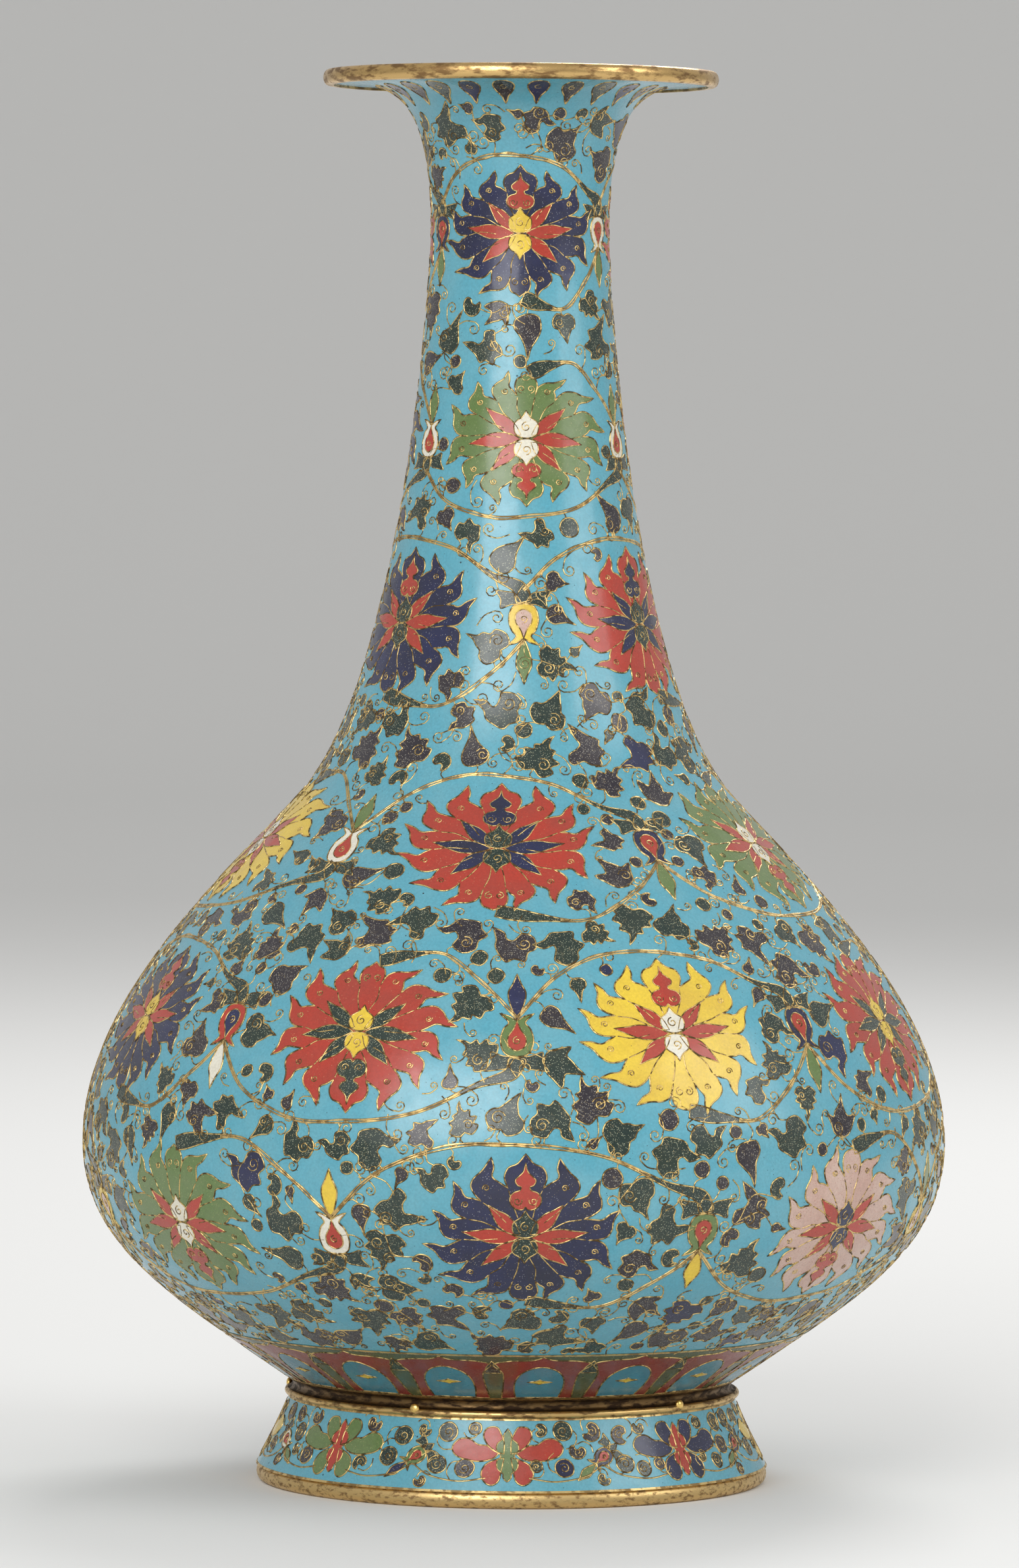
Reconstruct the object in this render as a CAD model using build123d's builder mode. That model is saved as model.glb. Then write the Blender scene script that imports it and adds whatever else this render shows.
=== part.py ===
"""Cloisonne bottle vase: a raised copper vessel on a flared foot, with its enamel coats and gilt mounts.

Millimetres. Z is the vase's axis, and the origin is the middle of the face that the foot stands on.
The vessel's outline is four curves between five stations: the seat on the foot, the belly, the shoulder,
the neck's waist and the edge of the mouth. Every coat and every copper shell lies at a depth under it.
"""

import os
from math import cos, radians, sin

from build123d import *

# Vessel outline: radius and height of each station, and how far each curve is pulled along its tangent.
seat_radius, seat_height = 87.5, 40.6
seat_slope, seat_pull = 34.5, 58.0
belly_radius, belly_height = 168.2, 133.0
belly_pull_down, belly_pull_up = 40.0, 55.0
shoulder_radius, shoulder_height = 84.4, 268.2
shoulder_slope, shoulder_pull_down, shoulder_pull_up = 132.0, 38.5, 58.0
waist_radius, waist_height = 34.6, 489.0
waist_pull_down, waist_pull_up = 26.0, 59.0
lip_radius, lip_height = 73.0, 544.8
lip_pull = 17.0

# Walls
enamel_thickness = 1.2
copper_thickness = 1.8
neck_joint_height = 326.0
lappet_height = 60.0
lip_coat_height = 528.0

# Foot
foot_rim_height = 6.3
foot_top_height = 33.4
foot_top_radius = 87.0
foot_edge_radius = 99.8
foot_hollow = 0.8
foot_ledge_inset = 2.0
base_plate_height = 16.0
base_plate_thickness = 1.5

# Gilt mounts
collar_wall = 3.5
collar_bead = 1.4
collar_cove = 1.5
collar_step = 0.5
collar_edge = 0.6
rim_height = 6.0
rim_width = 4.0
rim_overhang = 2.2
rim_drop = 0.9
rim_gap = 0.05
foot_rim_wall = 6.3
foot_rim_draft = 2.0
foot_rim_swell = 0.8

# Border wires and brazing
wire_width = 0.8
wire_proud = 0.2
braze_thickness = 0.8
braze_reach = 4.0
foot_braze_leg = 1.2

# Pins that hold the collar and the foot together
pin_count = 5
pin_first_azimuth = -25.0
pin_radius = 1.2
pin_head_radius = 1.8
pin_head_height = 1.4
pin_head_inset = 1.0
pin_tail = 1.0

# What follows from those
wall_thickness = enamel_thickness + copper_thickness
collar_bore = seat_radius - collar_wall
floor_underside = seat_height - copper_thickness
pin_height = (foot_top_height + floor_underside) / 2
pin_head_seat = seat_radius - pin_head_inset
rim_radius = lip_radius + rim_width
rim_base = lip_height - rim_drop

# How finely an offset line follows the outline, and how far it runs on past the ends
samples_per_curve = 12
run_out = 9.0


def heading(slope):
    """Unit direction in the radius and height plane, slope degrees above the outward radius."""
    return Vector(cos(radians(slope)), sin(radians(slope)))


def vessel_outline():
    """The vessel's outer surface from the foot to the edge of the mouth, as four curves."""
    seat = Vector(seat_radius, seat_height)
    belly = Vector(belly_radius, belly_height)
    shoulder = Vector(shoulder_radius, shoulder_height)
    waist = Vector(waist_radius, waist_height)
    lip = Vector(lip_radius, lip_height)
    up = heading(90)
    rising = heading(shoulder_slope)
    return [
        Bezier(seat, seat + heading(seat_slope) * seat_pull, belly - up * belly_pull_down, belly),
        Bezier(belly, belly + up * belly_pull_up, shoulder - rising * shoulder_pull_down, shoulder),
        Bezier(shoulder, shoulder + rising * shoulder_pull_up, waist - up * waist_pull_down, waist),
        Bezier(waist, waist + up * waist_pull_up, lip - heading(0) * lip_pull, lip),
    ]


def foot_outline():
    """The foot's outer surface from its rim up to the collar, one hollow arc."""
    edge = Vector(foot_edge_radius, foot_rim_height)
    top = Vector(foot_top_radius, foot_top_height)
    middle = (edge + top) * 0.5 - Vector(foot_hollow, 0)
    return [ThreePointArc(edge, middle, top)]


def layer_line(outline, depth):
    """Draws a line at a depth inside the outline, run straight on past both ends, and returns its ends."""
    stations = [
        (curve @ (step / samples_per_curve), curve % (step / samples_per_curve))
        for curve in outline
        for step in range(samples_per_curve)
    ]
    stations.append((outline[-1] @ 1, outline[-1] % 1))
    points = [point + Vector(-along.Y, along.X) * depth for point, along in stations]
    first_way, last_way = stations[0][1], stations[-1][1]
    Spline(*points, tangents=(first_way, last_way))
    before = Line(points[0] - first_way * run_out, points[0])
    after = Line(points[-1], points[-1] + last_way * run_out)
    return before @ 0, after @ 1


def layer(outline, outer_depth, inner_depth, low, high, widest):
    """Section of the wall between two depths and two heights, no wider than a radius."""
    with BuildSketch() as section:
        with BuildLine():
            outer_start, outer_end = layer_line(outline, outer_depth)
            inner_start, inner_end = layer_line(outline, inner_depth)
            Line(outer_start, inner_start)
            Line(outer_end, inner_end)
        make_face()
        with Locations((widest / 2, (low + high) / 2)):
            Rectangle(widest, high - low, mode=Mode.INTERSECT)
    return section.sketch


def vessel_layer(outer_depth, inner_depth, low, high):
    """Section of the vessel's wall, trimmed at the edge of the mouth."""
    widest = lip_radius if high > waist_height else belly_radius + wire_proud
    return layer(vessel_outline(), outer_depth, inner_depth, low, high, widest)


def foot_layer(outer_depth, inner_depth, low, high):
    """Section of the foot's wall."""
    return layer(foot_outline(), outer_depth, inner_depth, low, high, foot_edge_radius + wire_proud)


def box_section(inner_radius, outer_radius, low, high):
    """Section of a plain ring, or of a disc if it starts at the axis."""
    with BuildSketch() as section:
        with Locations(((inner_radius + outer_radius) / 2, (low + high) / 2)):
            Rectangle(outer_radius - inner_radius, high - low)
    return section.sketch


def turned(name, *sections):
    """The piece that the sections sweep in one turn round the vase's axis."""
    with BuildPart() as piece:
        with BuildSketch(Plane.XZ):
            for section in sections:
                add(section)
        revolve(axis=Axis.Z)
    piece.part.label = name
    return piece.part


def pin_planes():
    """A plane on the vase's axis for each pin, whose Z points outwards along the pin."""
    turns = [radians(pin_first_azimuth - 90 + 360 / pin_count * i) for i in range(pin_count)]
    return [
        Plane(origin=(0, 0, pin_height), x_dir=(0, 0, 1), z_dir=(cos(turn), sin(turn), 0))
        for turn in turns
    ]


def drilled(name, ring, head_seat):
    """The ring with a hole for each pin, and a flat for its head from a radius outwards."""
    outwards = (Align.CENTER, Align.CENTER, Align.MIN)
    with BuildPart() as piece:
        add(ring)
        for plane in pin_planes():
            with Locations(plane):
                Cylinder(pin_radius, foot_edge_radius, align=outwards, mode=Mode.SUBTRACT)
            with Locations(plane.offset(head_seat)):
                Cylinder(pin_head_radius, foot_edge_radius, align=outwards, mode=Mode.SUBTRACT)
    piece.part.label = name
    return piece.part


def make_mouth_rim():
    """Gilt rim: a rounded ring round the edge of the mouth, lapped over its top."""
    top = rim_base + rim_height
    lap_base = lip_height + wall_thickness + rim_gap
    with BuildPart() as piece:
        with BuildSketch(Plane.XZ):
            with BuildLine():
                foot = Line((lip_radius, rim_base), (lip_radius + rim_width / 2, rim_base))
                outer_face = ThreePointArc(
                    foot @ 1, (rim_radius, (rim_base + top) / 2), (lip_radius + rim_width / 2, top)
                )
                crown = Line(outer_face @ 1, (lip_radius - rim_overhang / 2, top))
                lap_edge = (lip_radius - rim_overhang, lap_base)
                Polyline(crown @ 1, lap_edge, (lip_radius, lap_base), foot @ 0)
            make_face()
        revolve(axis=Axis.Z)
    piece.part.label = "mouth_rim"
    return piece.part


def make_foot_collar():
    """Gilt band between the vessel and the foot: a bead, a cove and a narrow top edge."""
    outside = seat_radius
    bead_top = foot_top_height + 2 * collar_bead
    with BuildPart() as ring:
        with BuildSketch(Plane.XZ):
            with BuildLine():
                under = Line((collar_bore, foot_top_height), (outside, foot_top_height))
                bead = ThreePointArc(
                    under @ 1,
                    (outside + collar_bead, foot_top_height + collar_bead),
                    (outside - collar_step, bead_top),
                )
                cove = ThreePointArc(
                    bead @ 1,
                    (outside - collar_cove, (bead_top + seat_height) / 2),
                    (outside, seat_height - collar_edge),
                )
                Polyline(cove @ 1, (outside, seat_height), (collar_bore, seat_height), under @ 0)
            make_face()
        revolve(axis=Axis.Z)
    return drilled("foot_collar", ring.part, pin_head_seat)


def make_foot_rim():
    """Gilt ring that the vase stands on, drawn in towards its foot face."""
    inner = foot_edge_radius - foot_rim_wall
    with BuildPart() as piece:
        with BuildSketch(Plane.XZ):
            with BuildLine():
                face = Line((inner, 0), (foot_edge_radius - foot_rim_draft, 0))
                middle = foot_edge_radius - foot_rim_draft / 2 + foot_rim_swell
                bulge = ThreePointArc(
                    face @ 1, (middle, foot_rim_height / 2), (foot_edge_radius, foot_rim_height)
                )
                Polyline(bulge @ 1, (inner, foot_rim_height), face @ 0)
            make_face()
        revolve(axis=Axis.Z)
    piece.part.label = "foot_rim"
    return piece.part


def make_foot_core():
    """Copper foot: the flared wall, a ledge under the collar, and a spigot up to the vessel's floor."""
    spigot_bore = collar_bore - copper_thickness
    ledge_edge = foot_top_radius - foot_ledge_inset
    wall = foot_layer(enamel_thickness, wall_thickness, foot_rim_height, foot_top_height)
    ledge = box_section(spigot_bore, ledge_edge, foot_top_height - copper_thickness, foot_top_height)
    spigot = box_section(spigot_bore, collar_bore, foot_top_height, floor_underside)
    return drilled("foot_core", turned("foot_core", wall, ledge, spigot), foot_edge_radius)


def make_base_plate():
    """Disc that closes the foot, brazed in a little above the rim."""
    outline = foot_outline()
    with BuildPart() as piece:
        with BuildSketch(Plane.XZ):
            with BuildLine():
                start, end = layer_line(outline, wall_thickness)
                Polyline(end, (0, end.Y), (0, start.Y), start)
            make_face()
            with Locations((foot_edge_radius / 2, base_plate_height + base_plate_thickness / 2)):
                Rectangle(foot_edge_radius, base_plate_thickness, mode=Mode.INTERSECT)
        revolve(axis=Axis.Z)
    piece.part.label = "base_plate"
    return piece.part


def make_collar_pins():
    """Round-headed pins through the collar into the foot's spigot."""
    tail = collar_bore - copper_thickness - pin_tail
    outwards = (Align.CENTER, Align.CENTER, Align.MIN)
    with BuildPart() as piece:
        for plane in pin_planes():
            with Locations(plane.offset(tail)):
                Cylinder(pin_radius, pin_head_seat - tail, align=outwards)
            with Locations(plane.offset(pin_head_seat)):
                Cylinder(pin_head_radius, pin_head_height, align=outwards)
    piece.part.label = "collar_pins"
    return piece.part


def make_foot_braze():
    """Fillet of brazing metal in the corner between the foot's spigot and the vessel's floor."""
    corner = collar_bore - copper_thickness
    with BuildPart() as piece:
        with BuildSketch(Plane.XZ):
            with BuildLine():
                Polyline(
                    (corner, floor_underside),
                    (corner - foot_braze_leg, floor_underside),
                    (corner, floor_underside - foot_braze_leg),
                    close=True,
                )
            make_face()
        revolve(axis=Axis.Z)
    piece.part.label = "foot_braze"
    return piece.part


def enamel(name, low, high):
    """One zone of the vessel's enamel coat."""
    return turned(name, vessel_layer(0, enamel_thickness, low, high))


def vessel_wire(name, low):
    """A border wire let into the vessel's enamel, standing a little proud of it."""
    return turned(name, vessel_layer(-wire_proud, enamel_thickness, low, low + wire_width))


def foot_wire(name, low):
    """A border wire let into the foot's enamel, standing a little proud of it."""
    return turned(name, foot_layer(-wire_proud, enamel_thickness, low, low + wire_width))


def vessel_braze(name, height):
    """Seam of brazing metal inside a joint of the vessel."""
    inner = wall_thickness + braze_thickness
    return turned(name, vessel_layer(wall_thickness, inner, height - braze_reach, height + braze_reach))


def make_vessel():
    """Copper shells, brazed seams, enamel zones and border wires of the vessel."""
    floor = box_section(0, collar_bore, floor_underside, seat_height)
    coat_base = seat_height + wire_width
    bowl_wall = vessel_layer(enamel_thickness, wall_thickness, seat_height, belly_height)
    shoulder_wall = vessel_layer(enamel_thickness, wall_thickness, belly_height, neck_joint_height)
    above_mouth = lip_height + 2 * wall_thickness
    neck_wall = vessel_layer(enamel_thickness, wall_thickness, neck_joint_height, above_mouth)
    return [
        turned("bowl_core", bowl_wall, floor),
        turned("shoulder_core", shoulder_wall),
        turned("neck_core", neck_wall),
        vessel_braze("belly_braze", belly_height),
        vessel_braze("neck_braze", neck_joint_height),
        vessel_wire("seat_wire", seat_height),
        vessel_wire("lappet_wire", lappet_height),
        enamel("lappet_enamel", coat_base, lappet_height),
        enamel("belly_enamel", lappet_height + wire_width, belly_height),
        enamel("shoulder_enamel", belly_height, neck_joint_height),
        enamel("neck_enamel", neck_joint_height, lip_coat_height),
        enamel("lip_enamel", lip_coat_height, above_mouth),
    ]


def make_foot():
    """Copper foot, its enamel and border wires, its base plate, and the gilt mounts round it."""
    coat_low = foot_rim_height + wire_width
    coat_high = foot_top_height - wire_width
    return [
        make_foot_core(),
        turned("foot_enamel", foot_layer(0, enamel_thickness, coat_low, coat_high)),
        foot_wire("foot_top_wire", coat_high),
        foot_wire("foot_base_wire", foot_rim_height),
        make_foot_rim(),
        make_foot_collar(),
        make_collar_pins(),
        make_foot_braze(),
        make_base_plate(),
    ]


def main():
    """Builds every piece and writes each to its own STEP file."""
    os.makedirs("parts", exist_ok=True)
    for piece in [make_mouth_rim(), *make_vessel(), *make_foot()]:
        export_step(piece, f"parts/{piece.label}.step")


main()
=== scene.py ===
# %% [markdown]
# # A cloisonne bottle vase
# The real vase is a copper vessel, raised with hammers. Flat copper wires, the cloisons, are set on edge
# on it to draw a lotus scroll. The cells between them are filled with powdered glass, fired, and ground
# smooth, and every copper edge that still shows is gilded. The script follows that order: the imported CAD
# model is the bare vessel, and the enamel ground, the coloured cells, the wires and the gilt mounts are
# made on it.

# %% The frame
import math
import random

import bmesh
import bpy
import numpy as np
from mathutils import Matrix, Vector
from mathutils.kdtree import KDTree


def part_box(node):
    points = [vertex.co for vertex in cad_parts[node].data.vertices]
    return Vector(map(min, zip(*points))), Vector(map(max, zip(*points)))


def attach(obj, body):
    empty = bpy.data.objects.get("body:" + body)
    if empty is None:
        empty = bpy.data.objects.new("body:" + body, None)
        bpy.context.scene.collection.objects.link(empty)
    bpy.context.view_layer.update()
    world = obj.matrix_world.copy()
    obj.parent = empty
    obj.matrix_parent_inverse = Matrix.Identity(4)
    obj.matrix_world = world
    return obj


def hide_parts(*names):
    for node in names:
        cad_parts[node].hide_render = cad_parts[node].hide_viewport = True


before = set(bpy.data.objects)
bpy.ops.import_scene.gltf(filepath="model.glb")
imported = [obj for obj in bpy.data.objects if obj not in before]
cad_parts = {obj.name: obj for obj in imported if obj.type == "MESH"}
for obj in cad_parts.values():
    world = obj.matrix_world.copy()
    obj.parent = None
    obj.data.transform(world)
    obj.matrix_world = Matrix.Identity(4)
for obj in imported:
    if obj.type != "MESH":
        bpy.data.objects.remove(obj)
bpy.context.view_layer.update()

MM = 0.001
chance = random.Random(7)

# %% [markdown]
# ## The camera
# A vase is best seen from a long way off with a long lens, so that its foot and its mouth both look
# nearly flat. The camera stands 3.3 m away, level with the middle of the neck, and is tipped down by two
# degrees. The small roll gives the vase the slight lean that a hand-made one has on its stand.

# %% Camera
camera_distance = 3.341
camera_height = 0.402
camera_side = -0.0035
camera_tip = 2.2246
camera_roll = 0.40
lens_length = 196.6
sensor_width = 36


def add_object(name, data):
    """Makes an object at the origin and puts it in the scene."""
    made = bpy.data.objects.new(name, data)
    bpy.context.scene.collection.objects.link(made)
    return made


camera = add_object("camera", bpy.data.cameras.new("camera"))
camera.location = (camera_side, -camera_distance, camera_height)
camera.rotation_euler = (math.radians(90 - camera_tip), math.radians(-camera_roll), 0)
camera.data.lens = lens_length
camera.data.sensor_width = sensor_width
bpy.context.scene.camera = camera
print("camera at", tuple(round(c, 3) for c in camera.location))

# %% [markdown]
# ## The surfaces that everything lies on
# The vessel and the foot are bodies of revolution, so one outline describes each: a row of radii and
# heights. The vessel's outline is four Bezier curves between its seat, belly, shoulder, waist and lip. A
# place on it takes two numbers, the turn round the axis and the distance along the outline, and a third
# for how far it stands off the surface. The ornament is drawn flat in millimetres and laid on with these
# three numbers.

# %% Surfaces of revolution
VESSEL_STATIONS = [
    ((87.5, 40.6), (135.3, 73.45), (168.2, 93.0), (168.2, 133.0)),
    ((168.2, 133.0), (168.2, 188.0), (110.16, 239.59), (84.4, 268.2)),
    ((84.4, 268.2), (45.59, 311.3), (34.6, 463.0), (34.6, 489.0)),
    ((34.6, 489.0), (34.6, 548.0), (56.0, 544.8), (73.0, 544.8)),
]
FOOT_STATIONS = [((99.8, 6.3), (95.2, 15.2), (90.2, 24.4), (87.0, 33.4))]
CURVE_STEPS = 400


def bezier(a, b, c, d, steps):
    """Points along one cubic Bezier curve."""
    t = np.linspace(0, 1, steps)[:, None]
    a, b, c, d = (np.array(p, float) for p in (a, b, c, d))
    return (1 - t) ** 3 * a + 3 * t * (1 - t) ** 2 * b + 3 * t * t * (1 - t) * c + t**3 * d


class Turned:
    """A surface of revolution. A place on it is a turn from the front, and a distance along its outline."""

    def __init__(self, stations):
        curves = [bezier(*station, CURVE_STEPS) for station in stations]
        line = np.vstack([curves[0]] + [curve[1:] for curve in curves[1:]])
        steps = np.hypot(*np.diff(line, axis=0).T)
        self.marks = np.concatenate([[0], np.cumsum(steps)])
        self.line = line
        way = np.gradient(line, self.marks, axis=0)
        way /= np.hypot(*way.T)[:, None]
        self.outward = np.column_stack((way[:, 1], -way[:, 0]))
        self.length = self.marks[-1]

    def read(self, along, values):
        """One column of the outline's data at each distance along it."""
        return np.interp(along, self.marks, values)

    def radius(self, along):
        """Distance from the axis, in mm."""
        return self.read(along, self.line[:, 0])

    def section(self, along, lift):
        """Radius and height, lifted off the surface along its outward normal."""
        radius = self.radius(along) + self.read(along, self.outward[:, 0]) * lift
        height = self.read(along, self.line[:, 1]) + self.read(along, self.outward[:, 1]) * lift
        return radius, height

    def place(self, turn, along, lift):
        """Points in the frame, in metres."""
        radius, height = self.section(along, lift)
        return np.column_stack((radius * np.sin(turn), -radius * np.cos(turn), height)) * MM

    def at_height(self, height):
        """Distance along the outline at a height below the lip's edge."""
        return float(np.interp(height, self.line[:, 1], self.marks))


# %% [markdown]
# The coats of the CAD follow the same outlines. A sample of their points is measured against them,
# because the ornament would float or drown if the two were apart by more than the height of a wire.

# %% Vessel and foot
vessel = Turned(VESSEL_STATIONS)
foot = Turned(FOOT_STATIONS)
sample_step = 37
worst = 0.0
for node in ("belly_enamel", "shoulder_enamel", "neck_enamel"):
    for vertex in list(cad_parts[node].data.vertices)[::sample_step]:
        radius = math.hypot(vertex.co.x, vertex.co.y) / MM
        outside = vessel.radius(vessel.at_height(vertex.co.z / MM))
        worst = max(worst, radius - outside)
print(f"outline {vessel.length:.1f} mm long; the CAD's enamel stands at most {worst:.2f} mm outside it")

# %% [markdown]
# ## Enamel, gilding and copper
# Enamel is coloured glass. Close up it is never one flat colour: the powder melts unevenly, bubbles open
# into tiny dark pits when the surface is ground, and the dark greens and blues are full of pale and
# golden specks. Each enamel material mixes two shades with slow noise, and cuts pits and specks with
# Voronoi cells that are thresholded by distance. All of it reads Object coordinates, so the pattern runs
# through the whole piece.


# %% Shader helpers
def shader(name, roughness, metallic=0.0, coat=0.0):
    """A new material, its node tree and its Principled shader."""
    material = bpy.data.materials.new(name)
    material.use_nodes = True
    tree = material.node_tree
    principled = tree.nodes["Principled BSDF"]
    principled.inputs["Roughness"].default_value = roughness
    principled.inputs["Metallic"].default_value = metallic
    principled.inputs["Coat Weight"].default_value = coat
    principled.inputs["Coat Roughness"].default_value = 0.12
    return material, tree, principled


def object_point(tree, stretch=(1, 1, 1)):
    """Object coordinates, stretched by a Mapping node."""
    source = tree.nodes.new("ShaderNodeTexCoord")
    mapping = tree.nodes.new("ShaderNodeMapping")
    mapping.inputs["Scale"].default_value = stretch
    tree.links.new(source.outputs["Object"], mapping.inputs["Vector"])
    return mapping.outputs["Vector"]


# %% [markdown]
# A pattern is built from three parts: noise for what drifts, a ramp that turns its values into the shades
# that are wanted, and a mix of two colours by a mask.


# %% Noise, ramps and mixes
def noise(tree, point, size, detail=3.0, roughness=0.55):
    """Noise whose features are about this many millimetres across."""
    node = tree.nodes.new("ShaderNodeTexNoise")
    node.inputs["Scale"].default_value = 1 / (size * MM)
    node.inputs["Detail"].default_value = detail
    node.inputs["Roughness"].default_value = roughness
    tree.links.new(point, node.inputs["Vector"])
    return node.outputs["Fac"]


def ramp(tree, value, stops):
    """Colours or greys at positions from 0 to 1."""
    node = tree.nodes.new("ShaderNodeValToRGB")
    elements = node.color_ramp.elements
    while len(elements) < len(stops):
        elements.new(0.5)
    for element, (position, colour) in zip(elements, stops):
        element.position = position
        element.color = (*colour, 1) if isinstance(colour, tuple) else (colour, colour, colour, 1)
    tree.links.new(value, node.inputs["Fac"])
    return node.outputs["Color"]


# where a Mix node keeps its sockets for colours
MIX_SHARE, MIX_FIRST, MIX_SECOND, MIX_RESULT = 0, 6, 7, 2


def mix(tree, share, first, second, mode="MIX"):
    """Mixes two colours. A colour is a socket or a tuple."""
    node = tree.nodes.new("ShaderNodeMix")
    node.data_type = "RGBA"
    node.blend_type = mode
    for place, value in ((MIX_SHARE, share), (MIX_FIRST, first), (MIX_SECOND, second)):
        socket = node.inputs[place]
        if isinstance(value, bpy.types.NodeSocket):
            tree.links.new(value, socket)
        else:
            socket.default_value = (*value, 1) if isinstance(value, tuple) else value
    return node.outputs[MIX_RESULT]


# %% [markdown]
# Pits and specks are the round middles of Voronoi cells. The distance to a cell's centre is cut off at
# the dot's radius, and the cell's own random colour decides whether it has a dot at all.


# %% Dots and bumps
def dots(tree, point, spacing, width, share):
    """A mask of round dots in some cells of a Voronoi grid. Spacing and width are in millimetres."""
    cells = tree.nodes.new("ShaderNodeTexVoronoi")
    cells.inputs["Scale"].default_value = 1 / (spacing * MM)
    tree.links.new(point, cells.inputs["Vector"])
    edge = width / spacing / 2
    inside = ramp(tree, cells.outputs["Distance"], [(0.0, 1.0), (edge * 0.6, 1.0), (edge, 0.0)])
    chosen = ramp(tree, cells.outputs["Color"], [(1 - share - 0.01, 0.0), (1 - share, 1.0)])
    return mix(tree, 1.0, inside, chosen, "MULTIPLY")


def bump(tree, height, strength, depth, principled):
    """A Bump node on the shader's normal. Depth is in millimetres."""
    node = tree.nodes.new("ShaderNodeBump")
    node.inputs["Strength"].default_value = strength
    node.inputs["Distance"].default_value = depth * MM
    tree.links.new(height, node.inputs["Height"])
    tree.links.new(node.outputs["Normal"], principled.inputs["Normal"])


# %% [markdown]
# Enamel recipes differ only in their colours and specks, so one function makes them all. The ground is
# turquoise with cloudy paler and greener patches. Roughness follows the clouds too, because an old
# surface is polished in places and dull in others, and the pits are dull and dark.


# %% Enamel
# sizes of the noises, then spacing and width of the dots, all in mm
CLOUD_SIZE, WEAR_SIZE, WAVE_SIZE, DRIFT_SIZE, GRAIN_SIZE = 16.0, 7.0, 5.0, 3.0, 0.9
SPECK, GOLD_SPECK, PIT, PINHOLE = (0.52, 0.38), (0.40, 0.26), (2.1, 0.42), (5.5, 0.9)
PINHOLE_SHARE = 0.22
SPECK_GOLD = (0.62, 0.50, 0.28)


def speckle(tree, point, body, speck, share):
    """Scatters pale specks in a colour, and golden ones in drifts."""
    body = mix(tree, dots(tree, point, *SPECK, share), body, speck)
    drifts = ramp(tree, noise(tree, point, DRIFT_SIZE, 2.0), [(0.48, 0.0), (0.62, 1.0)])
    golden = mix(tree, 1.0, dots(tree, point, *GOLD_SPECK, share), drifts, "MULTIPLY")
    return mix(tree, golden, body, SPECK_GOLD)


def enamel(name, colour, shade, speck=None, speck_share=0.0, gloss=0.24, pit_share=0.16):
    """Fired and ground enamel in two shades, with dark pits and, where asked, pale and golden specks."""
    material, tree, principled = shader(name, gloss, coat=0.25)
    point = object_point(tree)
    clouds = ramp(tree, noise(tree, point, CLOUD_SIZE, 4.0), [(0.32, 0.0), (0.68, 1.0)])
    body = mix(tree, clouds, colour, shade)
    grain = ramp(tree, noise(tree, point, GRAIN_SIZE, 2.0), [(0.3, 0.80), (0.7, 1.12)])
    body = mix(tree, 0.55, body, grain, "MULTIPLY")
    if speck:
        body = speckle(tree, point, body, speck, speck_share)
    pits = dots(tree, point, *PIT, pit_share)
    pinholes = dots(tree, point, *PINHOLE, PINHOLE_SHARE)
    holes = mix(tree, 1.0, pits, pinholes, "LIGHTEN")
    body = mix(tree, holes, body, tuple(c * 0.12 for c in colour))
    tree.links.new(body, principled.inputs["Base Color"])
    wear = ramp(tree, noise(tree, point, WEAR_SIZE, 4.0), [(0.3, gloss - 0.06), (0.7, gloss + 0.14)])
    rough = mix(tree, holes, wear, (0.7, 0.7, 0.7))
    tree.links.new(rough, principled.inputs["Roughness"])
    waves = ramp(tree, noise(tree, point, WAVE_SIZE, 2.0), [(0.2, 0.35), (0.8, 0.65)])
    height = mix(tree, holes, waves, (0.0, 0.0, 0.0))
    bump(tree, height, 0.5, 0.22, principled)
    return material


ENAMELS = {
    "turquoise": enamel("turquoise_enamel", (0.088, 0.345, 0.445), (0.13, 0.372, 0.455), pit_share=0.36),
    "teal": enamel("teal_enamel", (0.04, 0.19, 0.26), (0.06, 0.225, 0.285)),
    "navy": enamel("navy_enamel", (0.016, 0.02, 0.074), (0.016, 0.017, 0.04), (0.24, 0.25, 0.3), 0.2),
    "green": enamel(
        "dark_green_enamel", (0.01, 0.026, 0.021), (0.022, 0.036, 0.025), (0.34, 0.36, 0.25), 0.46),
    "plum": enamel("plum_enamel", (0.018, 0.014, 0.022), (0.034, 0.028, 0.032), (0.34, 0.32, 0.28), 0.44),
    "leaf": enamel(
        "leaf_green_enamel", (0.105, 0.175, 0.045), (0.135, 0.195, 0.07), (0.34, 0.38, 0.16), 0.18),
    # the next enamel is the leaf green made darker: painted shade for the lappets' spandrels, which lie
    # under the belly
    "olive": enamel("painted_shade_leaf_enamel", (0.06, 0.08, 0.03), (0.08, 0.085, 0.04), (0.26, 0.26, 0.12), 0.2),
    "red": enamel("red_enamel", (0.43, 0.038, 0.02), (0.35, 0.046, 0.028), (0.52, 0.2, 0.1), 0.12),
    # the next enamel is the red made darker: painted shade for the lappets' arches, which lie under the
    # belly
    "maroon": enamel("painted_shade_red_enamel", (0.23, 0.028, 0.02), (0.18, 0.034, 0.024), (0.34, 0.14, 0.08), 0.16),
    "yellow": enamel("yellow_enamel", (0.78, 0.56, 0.045), (0.66, 0.45, 0.05), (0.4, 0.24, 0.04), 0.06),
    "white": enamel("white_enamel", (0.76, 0.74, 0.64), (0.68, 0.64, 0.52), (0.5, 0.38, 0.2), 0.06),
    "pink": enamel("pink_enamel", (0.5, 0.31, 0.25), (0.58, 0.42, 0.35), (0.36, 0.12, 0.09), 0.3),
}
print(len(ENAMELS), "enamels")
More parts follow.
